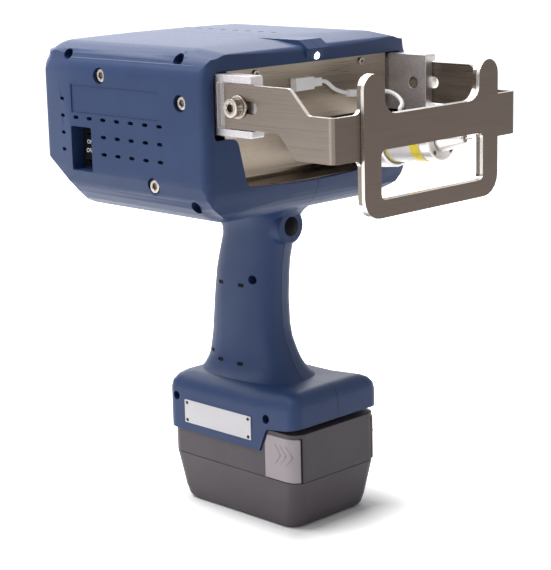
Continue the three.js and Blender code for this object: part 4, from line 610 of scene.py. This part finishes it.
def soften_edge(mesh, across, up, corner, toward, radii):
    """Rounds a long edge of the head more fully than the plain solid has it. The skin and the wall behind it
    are drawn in towards the centre of the wider arc, along rays from that centre. across and up number the
    two axes that the edge doesn't run along, and toward says on which side of each the corner lies."""
    old_radius, new_radius = radii
    centre = [c - s * new_radius for c, s in zip(corner, toward)]
    hub = [0, 0, 0]
    hub[across], hub[up] = centre[0] * MM, centre[1] * MM
    rays, margin, hair = 9, 0.5, 1e-4
    # Within these shares of the way to the skin, a point is drawn in less and less, and then not at all
    full_share, no_share = 0.7, 0.45

    def offset(point):
        return [(point[axis] / MM - c) * s for axis, c, s in zip((across, up), centre, toward)]

    for i in range(rays + 1):
        angle = pi / 2 * i / rays
        normal = [0, 0, 0]
        normal[across], normal[up] = -sin(angle) * toward[0], cos(angle) * toward[1]
        cut_near(mesh, lambda point: min(offset(point)) > -margin, hub, normal)
    shift = new_radius - old_radius
    for vert in mesh.verts:
        u, v = offset(vert.co)
        if min(u, v) <= hair:
            continue
        reach = (u * u + v * v) ** 0.5
        if min(u, v) / max(u, v) * new_radius <= shift:
            skin = new_radius * reach / max(u, v)
        else:
            along = (u + v) * shift / reach
            skin = along + (along**2 - 2 * shift**2 + old_radius**2) ** 0.5
        drawn = min(max((reach / skin - no_share) / (full_share - no_share), 0), 1)
        share = 1 + (new_radius / skin - 1) * drawn
        vert.co[across] = (centre[0] + toward[0] * u * share) * MM
        vert.co[up] = (centre[1] + toward[1] * v * share) * MM


def trim_corner(mesh, side):
    """Flattens the lower rear corner of the head onto a slanting plane, wall and all. A point that still has
    skin ahead of it, looking outward, belongs to the inner face of the wall."""
    on_rear, on_side, on_underside = [Vector((side * x, y, z)) for x, y, z in TRIM_PLACES]
    outward = (on_side - on_rear).cross(on_underside - on_rear).normalized()
    if outward.z > 0:
        outward.negate()
    level = outward.dot(on_rear)
    lift, search = 0.02, 12

    def in_tail(point):
        return point.y > TAIL_Y * MM and point.z > TAIL_Z * MM

    for inset in (0, WALL):
        cut_near(mesh, in_tail, outward * (level - inset) * MM, outward)
    skin = BVHTree.FromBMesh(mesh)
    for vert in mesh.verts:
        if not in_tail(vert.co):
            continue
        inner = skin.ray_cast(vert.co + outward * lift * MM, outward, search * MM)[0] is not None
        beyond = vert.co.dot(outward) / MM - (level - (WALL if inner else 0))
        if beyond > 0:
            vert.co -= outward * beyond * MM


def widen_hole(mesh, y, z, radii):
    """Opens a round hole in the side of the head, with the cup wall round it."""
    old_radius, new_radius = radii
    inside_share, cup_wall = 0.8, 1.8
    for vert in mesh.verts:
        across, up = vert.co.y / MM - y, vert.co.z / MM - z
        reach = (across**2 + up**2) ** 0.5
        if inside_share * old_radius < reach < old_radius + cup_wall:
            vert.co.y = (y + across * new_radius / old_radius) * MM
            vert.co.z = (z + up * new_radius / old_radius) * MM


def housing_half(node, side):
    mesh = merged_copy(node, dissolve=0.4)
    if side < 0:
        for screw_node in SHELL_SCREWS:
            _, y, z = middle(screw_node)
            widen_hole(mesh, y, z, COUNTERBORE_RADII)
    for y, z in DEEP_HOLES:
        widen_hole(mesh, y, z, DEEP_HOLE_RADII)
    soften_edge(mesh, 0, 2, (side * HEAD_HALF, HEAD_TOP - CROWN), (side, 1), TOP_SIDE_RADII)
    soften_edge(mesh, 0, 2, (side * HEAD_HALF, HEAD_BOTTOM), (side, -1), BELLY_SIDE_RADII)
    soften_edge(mesh, 1, 2, (HEAD_REAR, HEAD_TOP), (1, 1), TOP_REAR_RADII)
    soften_edge(mesh, 1, 2, (HEAD_FRONT, HEAD_BOTTOM), (-1, -1), BELLY_FRONT_RADII)
    trim_corner(mesh, side)
    bmesh.ops.triangulate(mesh, faces=[f for f in mesh.faces if len(f.verts) > 4])
    bmesh.ops.dissolve_limit(mesh, angle_limit=radians(0.3), verts=mesh.verts, edges=mesh.edges)
    made = new_piece(node + "_finished", mesh, "housing", ["housing"])
    shade(made, edge_mm=0.5, crease=33)
    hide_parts(node)


for hand, side in SIDES:
    housing_half(f"{hand}_shell", side)

for hand, side in SIDES:
    for i, (y, z) in enumerate(GRIP_SLOTS):
        place, normal = on_skin(f"{hand}_shell_finished", (side * OUTSIDE, y, z), (-side, 0, 0))
        # A black plate on the skin: painted shade for the dark inside of the slot
        slot = slab(GRIP_SLOT_WIDTH, GRIP_SLOT_HEIGHT, GRIP_SLOT_DEPTH, GRIP_SLOT_CORNER)
        slot.transform(facing(place - normal * (GRIP_SLOT_DEPTH - GRIP_SLOT_PROUD), normal))
        new_piece(f"{hand}_grip_slot_{i + 1}", slot, "housing", ["black"])

# Other CAD nodes

# Each with its finish, the radius of its edges in millimetres, and the least angle in degrees between the
# two faces at an edge that is rounded
for name, surface, edge_mm, crease in [
    ("trigger_button", "black", 0.3, 35),
    ("power_switch_body", "black", 0.25, 35),
    ("power_rocker", "black", 0.4, 30),
    ("battery_upper_case", "battery_upper", 0.5, 36),
    ("battery_lower_case", "battery_lower", 0.8, 30),
    ("right_latch", "latch", 0.7, 36),
    ("left_latch", "latch", 0.7, 36),
    ("front_cover", "cover_steel", 0.15, 40),
    ("inner_frame", "aluminium", 0.2, 35),
    ("x_carriage", "aluminium", 0.3, 35),
    ("swing_motor", "black_enamel", 0.2, 35),
    ("stylus_holder", "machined", 0.3, 35),
    ("solenoid_body", "enamel", 0.3, 35),
    ("solenoid_cap", "turned_steel", 0.2, 35),
    ("stylus_nozzle", "turned_steel", 0.2, 35),
    ("stylus_pin", "screw_steel", 0.1, 35),
    ("lead_plug", "white", 0.5, 35),
    ("keypad", "black", 0.2, 35),
    ("display_window", "lens", 0.2, 35),
    ("x_motor", "black_enamel", 0.4, 35),
    ("base_terminal_block", "black", 0.3, 35),
    ("right_clamp_washer", "screw_steel", 0.25, 35),
    ("left_clamp_washer", "screw_steel", 0.25, 35),
    ("upper_guide_rod", "turned_steel", 0.3, 35),
    ("lower_guide_rod", "turned_steel", 0.3, 35),
    ("pivot_shaft", "turned_steel", 0.3, 35),
    ("x_lead_screw", "turned_steel", 0.3, 35),
    ("lamp", "lit", 0.1, 35),
    ("trigger_switch", "black", 0.3, 35),
    ("display_module", "black", 0.3, 35),
    ("cell_pack", "cells", 0.2, 35),
    ("battery_terminals", "brass", 0.1, 35),
    ("terminal_blades", "brass", 0.1, 35),
    ("control_board", "board", 0.15, 35),
]:
    dress(name, surface, edge_mm, crease)

# Standoff: brushed faces, painted dark reflection on front faces, painted highlight on cut edges,
# and the milled pockets of the slide blocks, whose paler finish is partly a painted reflection

POCKET_X, POCKET_FRONT, POCKET_Z = (85, 94.3), -50, (301, 335)


# The plate's cut edges take the pale steel: painted highlight
def plate_edge_highlight(face):
    return abs(face.normal.y) < 0.7


# Faces turned to the front take the darker steel: painted dark reflection
def bracket_front_painted_reflection(face):
    return face.normal.y < -0.8


# The bracket's cut edges, facing up and down, take the pale steel: painted highlight
def bracket_edge_highlight(face):
    return abs(face.normal.z) > 0.3


# Pocket faces take the paler machined aluminium: partly the milled surface's own finish, partly a painted
# reflection
def in_pocket_painted_reflection(face):
    place = face.calc_center_median() / MM
    in_depth = POCKET_X[0] < abs(place.x) < POCKET_X[1]
    return in_depth and place.y < POCKET_FRONT and POCKET_Z[0] < place.z < POCKET_Z[1]


dress("contact_plate", "plate_steel_painted_reflection", 0.4, others=[("cut_edge_painted_highlight", plate_edge_highlight)], dissolve=0)
dress(
    "standoff_bracket",
    "arm_steel",
    0.2,
    others=[("plate_steel_painted_reflection", bracket_front_painted_reflection), ("cut_edge_painted_highlight", bracket_edge_highlight)],
    dissolve=0.1,
)
for hand, _ in SIDES:
    dress(f"{hand}_slide_block", "aluminium", 0.3, others=[("machined", in_pocket_painted_reflection)])

# Screws, in millimetres. A seat lies in the plane that a head stands on.

SHELL_SCREW = {
    "head_radius": 4.9, "head_height": 2.8, "chamfer": 0.7, "socket_radius": 2.3, "socket_depth": 1.7,
    "shank_radius": 1.9, "shank_length": 11, "six_lobed": True,
}
CLAMP_SCREW = {
    "head_radius": 6.5, "head_height": 6.5, "chamfer": 0.8, "socket_radius": 3.1, "socket_depth": 3.6,
    "shank_radius": 3.7, "shank_length": 13, "six_lobed": False,
}
COVER_SCREW = {
    "head_radius": 2.8, "head_height": 1.6, "chamfer": 0.6, "socket_radius": 1.2, "socket_depth": 1,
    "shank_radius": 1.5, "shank_length": 6, "six_lobed": False,
}
CAP_SCREW = {
    "head_radius": 2.4, "head_height": 1.9, "chamfer": 0.3, "socket_radius": 1.25, "socket_depth": 1.2,
    "shank_radius": 1.6, "shank_length": 1, "six_lobed": False,
}
SHELL_SEAT_X, CLAMP_SEAT_X, COVER_SEAT_Y, LEDGE_SEAT_Z = -100.3, 97, -45.8, 256.3


def finished_screw(node, seat, outward, sizes):
    screw(node + "_finished", "housing", seat, outward, sizes, node)


for node in SHELL_SCREWS:
    _, y, z = middle(node)
    finished_screw(node, (SHELL_SEAT_X, y, z), (-1, 0, 0), SHELL_SCREW)
for hand, side in SIDES:
    _, y, z = middle(f"{hand}_clamp_screw")
    finished_screw(f"{hand}_clamp_screw", (side * CLAMP_SEAT_X, y, z), (side, 0, 0), CLAMP_SCREW)
for node in ("cover_screw_1", "cover_screw_2"):
    x, _, z = middle(node)
    finished_screw(node, (x, COVER_SEAT_Y, z), (0, -1, 0), COVER_SCREW)
for node in ("cover_screw_3", "cover_screw_4"):
    x, y, _ = middle(node)
    finished_screw(node, (x, y, LEDGE_SEAT_Z), (0, 0, 1), COVER_SCREW)

# Stylus: printed bands, cap screws and return spring, measured ahead of the swing pivot

PIVOT = Vector((47, -34.5, 275))
SWING = radians(6)
AHEAD = Vector((0, -cos(SWING), sin(SWING)))
ABOVE = Vector((0, sin(SWING), cos(SWING)))
BAND_RADIUS, BAND_DEPTH, BAND_STEPS = 15.64, 0.3, 64
CAP_FACE, CAP_SCREW_CIRCLE, CAP_SCREW_COUNT = 92.6, 12.1, 4
SPRING_START, SPRING_END, SPRING_RADIUS, SPRING_TURNS = 77.3, 85.4, 5.4, 3


def on_stylus(ahead, across=0, above=0):
    """A place in millimetres: ahead of the swing pivot along the stylus, across it and above it."""
    return PIVOT + AHEAD * ahead + ABOVE * above + Vector((across, 0, 0))


def printed_band(name, start, end):
    inner = BAND_RADIUS - BAND_DEPTH
    mesh = spun([(inner, start), (BAND_RADIUS, start), (BAND_RADIUS, end), (inner, end)], BAND_STEPS)
    mesh.transform(facing(PIVOT, AHEAD, ABOVE))
    made = new_piece(name, mesh, "swing", ["yellow"])
    shade(made, edge_mm=0)
    made.data.set_sharp_from_angle(angle=radians(TURNED_CREASE))


printed_band("solenoid_yellow_band", 76.6, 84.9)
printed_band("solenoid_yellow_line", 53.6, 55)
for i in range(CAP_SCREW_COUNT):
    angle = 2 * pi * (i + 0.5) / CAP_SCREW_COUNT
    seat = on_stylus(CAP_FACE, CAP_SCREW_CIRCLE * cos(angle), CAP_SCREW_CIRCLE * sin(angle))
    screw(f"cap_screw_{i + 1}", "swing", seat, AHEAD, CAP_SCREW)
spring("return_spring", "swing", on_stylus(SPRING_START), on_stylus(SPRING_END), SPRING_RADIUS, SPRING_TURNS)

# Springs behind the trigger and the latches

TRIGGER_SPRING_Y, TRIGGER_SPRING_Z, TRIGGER_SPRING_RADIUS = (-13.9, -10.5), 217, 4.5
LATCH_SPRING_X, LATCH_SPRING_RADIUS = (35, 38), 2.6
SHORT_SPRING_TURNS = 1.5

start, end = [Vector((0, y, TRIGGER_SPRING_Z)) for y in TRIGGER_SPRING_Y]
spring("trigger_spring", "housing", start, end, TRIGGER_SPRING_RADIUS, SHORT_SPRING_TURNS)
for hand, side in SIDES:
    _, y, z = middle(f"{hand}_latch_spring")
    start, end = [Vector((side * x, y, z)) for x in LATCH_SPRING_X]
    spring(f"{hand}_latch_spring", "battery", start, end, LATCH_SPRING_RADIUS, SHORT_SPRING_TURNS)

# Cords: the white lead to the stylus with its sleeve, and the harness in the grip

LEAD_RADIUS, SLEEVE_RADIUS, HARNESS_RADIUS = 1.5, 2.7, 3
LEAD_Z = 324.5
lead_route = [
    (8, -48.5, LEAD_Z), (13.7, -48.5, LEAD_Z - 0.75), (22, -49.8, LEAD_Z - 6.8), (33, -51.6, LEAD_Z - 10.6),
    (42, -53.4, LEAD_Z - 11.4), (51, -55.4, LEAD_Z - 12), (59, -58, LEAD_Z - 11.6), (64, -65, LEAD_Z - 11.8),
    (63, -75, LEAD_Z - 15.5), (56, -84, LEAD_Z - 19),
    tuple(on_stylus(58, 0, 23)), tuple(on_stylus(58, 0, 18.8)),
]
lead_points = [Vector(p) * MM for p in lead_route]
lead, lead_line = strand("stylus_lead", None, lead_points, LEAD_RADIUS * MM, "white", ring=14, steps=10)
sleeve, _ = strand("lead_sleeve", None, lead_points[3:6], SLEEVE_RADIUS * MM, "white", ring=18, steps=10)
harness_route = [
    (0, 38, 87.7), (0, 38, 101), (0, 36, 144.4), (0, 29, 198.8), (0, 29, 238.2), (0, 29, 248), (0, 29, 254),
    (0, 42, 266), (0, 66, 269),
]
harness_points = [Vector(p) * MM for p in harness_route]
harness, harness_line = strand(
    "power_harness", "housing", harness_points, HARNESS_RADIUS * MM, "rubber", ring=14, steps=8
)

# The lead and its sleeve ride on no body, with their places baked into their meshes
for piece in (lead, sleeve):
    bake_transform(piece)

# Words on the two halves of the rocker

WORD_HEIGHT, WORD_Y, WORD_PROUD = 2.9, 86.2, 0.02

for name, text, z in (("rocker_word_on", "ON", 281.6), ("rocker_word_off", "OFF", 275.4)):
    place, normal = on_skin("power_rocker_finished", (-OUTSIDE, WORD_Y, z), (1, 0, 0))
    lettering(name, text, "rocker", place + normal * WORD_PROUD, normal, WORD_HEIGHT, "white_ink")

# Bare plate on the base, with a rivet in each corner

PLATE_CENTRE = Vector((-45.5, 13, 72.2))
PLATE_WIDTH, PLATE_HEIGHT, PLATE_DEPTH, PLATE_CORNER = 72, 18, 0.6, 0.8
RIVET_INSET_Y, RIVET_INSET_Z = 2.8, 2.2
RIVET_PROFILE = [(0, 0), (1.3, 0), (1.2, 0.35), (0.7, 0.6), (0, 0.7)]

plate = slab(PLATE_WIDTH, PLATE_HEIGHT, PLATE_DEPTH, PLATE_CORNER)
plate.transform(facing(PLATE_CENTRE, (-1, 0, 0)))
shade(new_piece("rating_plate", plate, "housing", ["name_plate"]), edge_mm=0.12, crease=35)
for i, (rear, top) in enumerate([(1, 1), (1, -1), (-1, 1), (-1, -1)]):
    reach_y, reach_z = PLATE_WIDTH / 2 - RIVET_INSET_Y, PLATE_HEIGHT / 2 - RIVET_INSET_Z
    rivet = spun(RIVET_PROFILE, steps=20)
    rivet.transform(facing(PLATE_CENTRE + Vector((-PLATE_DEPTH, rear * reach_y, top * reach_z)), (-1, 0, 0)))
    shade(new_piece(f"rating_plate_rivet_{i + 1}", rivet, "housing", ["dark"]), edge_mm=0)

# Three raised chevrons on each latch point to the front

CHEVRON_COUNT, CHEVRON_PITCH, CHEVRON_REAR_Y, CHEVRON_Z = 3, 5.4, -49.2, 57.8
RIB_WIDTH, RIB_LENGTH, RIB_DEPTH, RIB_CORNER, RIB_SUNK, RIB_OFFSET = 1.4, 9.2, 0.85, 0.4, 0.45, 3.3
RIB_LEAN, RIB_RISE = 0.62, 0.78

for hand, side in SIDES:
    for i in range(CHEVRON_COUNT):
        for part, rise in (("upper", 1), ("lower", -1)):
            start = (side * OUTSIDE, CHEVRON_REAR_Y - CHEVRON_PITCH * i, CHEVRON_Z + rise * RIB_OFFSET)
            place, normal = on_skin(f"{hand}_latch_finished", start, (-side, 0, 0))
            rib = slab(RIB_WIDTH, RIB_LENGTH, RIB_DEPTH, RIB_CORNER)
            rib.transform(facing(place - normal * RIB_SUNK, normal, (0, rise * RIB_LEAN, RIB_RISE)))
            made = new_piece(f"{hand}_latch_chevron_{i + 1}_{part}", rib, f"{hand}_latch_body", ["latch"])
            shade(made, edge_mm=0.15)

# Keys on the rear

KEY_COUNT, KEY_PITCH = 5, 16
KEY_WIDTH, KEY_HEIGHT, KEY_DEPTH, KEY_CORNER = 13, 9, 0.7, 2

keypad_x, _, keypad_z = middle("keypad")
for i in range(KEY_COUNT):
    key = slab(KEY_WIDTH, KEY_HEIGHT, KEY_DEPTH, KEY_CORNER)
    x = keypad_x + KEY_PITCH * (i - (KEY_COUNT - 1) / 2)
    key.transform(facing((x, HEAD_REAR, keypad_z), (0, 1, 0)))
    shade(new_piece(f"keypad_key_{i + 1}", key, "housing", ["key"]), edge_mm=0.3, crease=35)

# Studio

# Half the battery's footprint, from where the floor's own glow rises to full over this distance, in metres.
# Where the glow is low the floor round the battery is darker: a painted shadow beside the one the lamps cast
BATTERY_HALF = (0.042, 0.066, 0)
PAINTED_SHADOW_REACH = 0.05
FLOOR_HALF, FLOOR_DROP = 6, 0.0003
AIM = Vector((0, -0.02, 0.22))
WORLD_STRENGTH = 0.33
# Name, place, width in metres and power in watts
SOFTBOXES = [
    ("softbox_above", (-0.3, 0.5, 1.4), 1.2, 27),
    ("softbox_behind", (0.6, 1.1, 0.8), 1.2, 8),
    ("softbox_right", (-1.4, 0.1, 0.45), 0.9, 4.0),
    ("softbox_front", (0.2, -1.5, 0.7), 0.8, 1.5),
]


def seen_directly(tree):
    """1 where the camera, a reflection or clear plastic looks at a surface, and 0 where it lights others."""
    path = add(tree, "ShaderNodeLightPath").outputs
    seen = add(
        tree, "ShaderNodeMath", {0: path["Is Camera Ray"], 1: path["Is Glossy Ray"]}, operation="MAXIMUM"
    ).outputs[0]
    return add(
        tree, "ShaderNodeMath", {0: seen, 1: path["Is Transmission Ray"]}, operation="MAXIMUM"
    ).outputs[0]


def make_world(scene):
    """Even white light from all round, and a white backdrop to look at."""
    world = bpy.data.worlds.new("studio")
    scene.world = world
    world.use_nodes = True
    tree = world.node_tree
    tree.nodes.clear()
    lighting = add(tree, "ShaderNodeBackground", {"Color": linear("#fbfbff"), "Strength": WORLD_STRENGTH})
    backdrop = add(tree, "ShaderNodeBackground", {"Color": linear("#ffffff"), "Strength": 1.0})
    mixed = add(
        tree,
        "ShaderNodeMixShader",
        {0: seen_directly(tree), 1: lighting.outputs[0], 2: backdrop.outputs[0]},
    )
    add(tree, "ShaderNodeOutputWorld", {"Surface": mixed.outputs[0]})


def floor_finish():
    """Matt paper that looks white away from the machine. Its own glow fades out towards the battery, which
    paints a shadow round the battery's footprint on top of the shadow that the lamps cast.
    """
    material, tree = new_finish("pale_studio_floor")
    place = add(tree, "ShaderNodeTexCoord").outputs["Object"]
    offset = add(tree, "ShaderNodeVectorMath", {0: place}, operation="ABSOLUTE").outputs[0]
    offset = add(tree, "ShaderNodeVectorMath", {0: offset, 1: BATTERY_HALF}, operation="SUBTRACT").outputs[0]
    offset = add(tree, "ShaderNodeVectorMath", {0: offset, 1: (0, 0, 0)}, operation="MAXIMUM").outputs[0]
    away = add(tree, "ShaderNodeVectorMath", {0: offset}, operation="LENGTH").outputs["Value"]
    # The glow is low near the battery: painted shadow round its footprint
    glow_past_painted_shadow = add(tree, "ShaderNodeMapRange", {"Value": away, "From Min": 0.0, "From Max": PAINTED_SHADOW_REACH})
    glow = add(tree, "ShaderNodeEmission", {"Color": linear("#ffffff"), "Strength": glow_past_painted_shadow.outputs["Result"]})
    white_paper = add(tree, "ShaderNodeBsdfDiffuse", {"Color": linear("#f4f4f4")})
    looked_at = add(tree, "ShaderNodeAddShader", {0: white_paper.outputs[0], 1: glow.outputs[0]})
    paper = add(tree, "ShaderNodeBsdfDiffuse", {"Color": linear("#d0d0d0")})
    mixed = add(
        tree, "ShaderNodeMixShader", {0: seen_directly(tree), 1: paper.outputs[0], 2: looked_at.outputs[0]}
    )
    add(tree, "ShaderNodeOutputMaterial", {"Surface": mixed.outputs[0]})
    return material


def make_floor(scene):
    mesh = bmesh.new()
    bmesh.ops.create_grid(mesh, x_segments=1, y_segments=1, size=FLOOR_HALF)
    data = bpy.data.meshes.new("studio_floor")
    mesh.to_mesh(data)
    mesh.free()
    data.materials.append(floor_finish())
    floor = bpy.data.objects.new("studio_floor", data)
    floor.location.z = -FLOOR_DROP
    scene.collection.objects.link(floor)


def make_softboxes(scene):
    for name, place, size, power in SOFTBOXES:
        light = bpy.data.lights.new(name, "AREA")
        light.size = size
        light.energy = power
        lamp = bpy.data.objects.new(name, light)
        lamp.location = place
        lamp.rotation_euler = (AIM - Vector(place)).to_track_quat("-Z", "Y").to_euler()
        scene.collection.objects.link(lamp)


bpy.context.scene.view_settings.view_transform = "Standard"
make_world(bpy.context.scene)
make_floor(bpy.context.scene)
make_softboxes(bpy.context.scene)
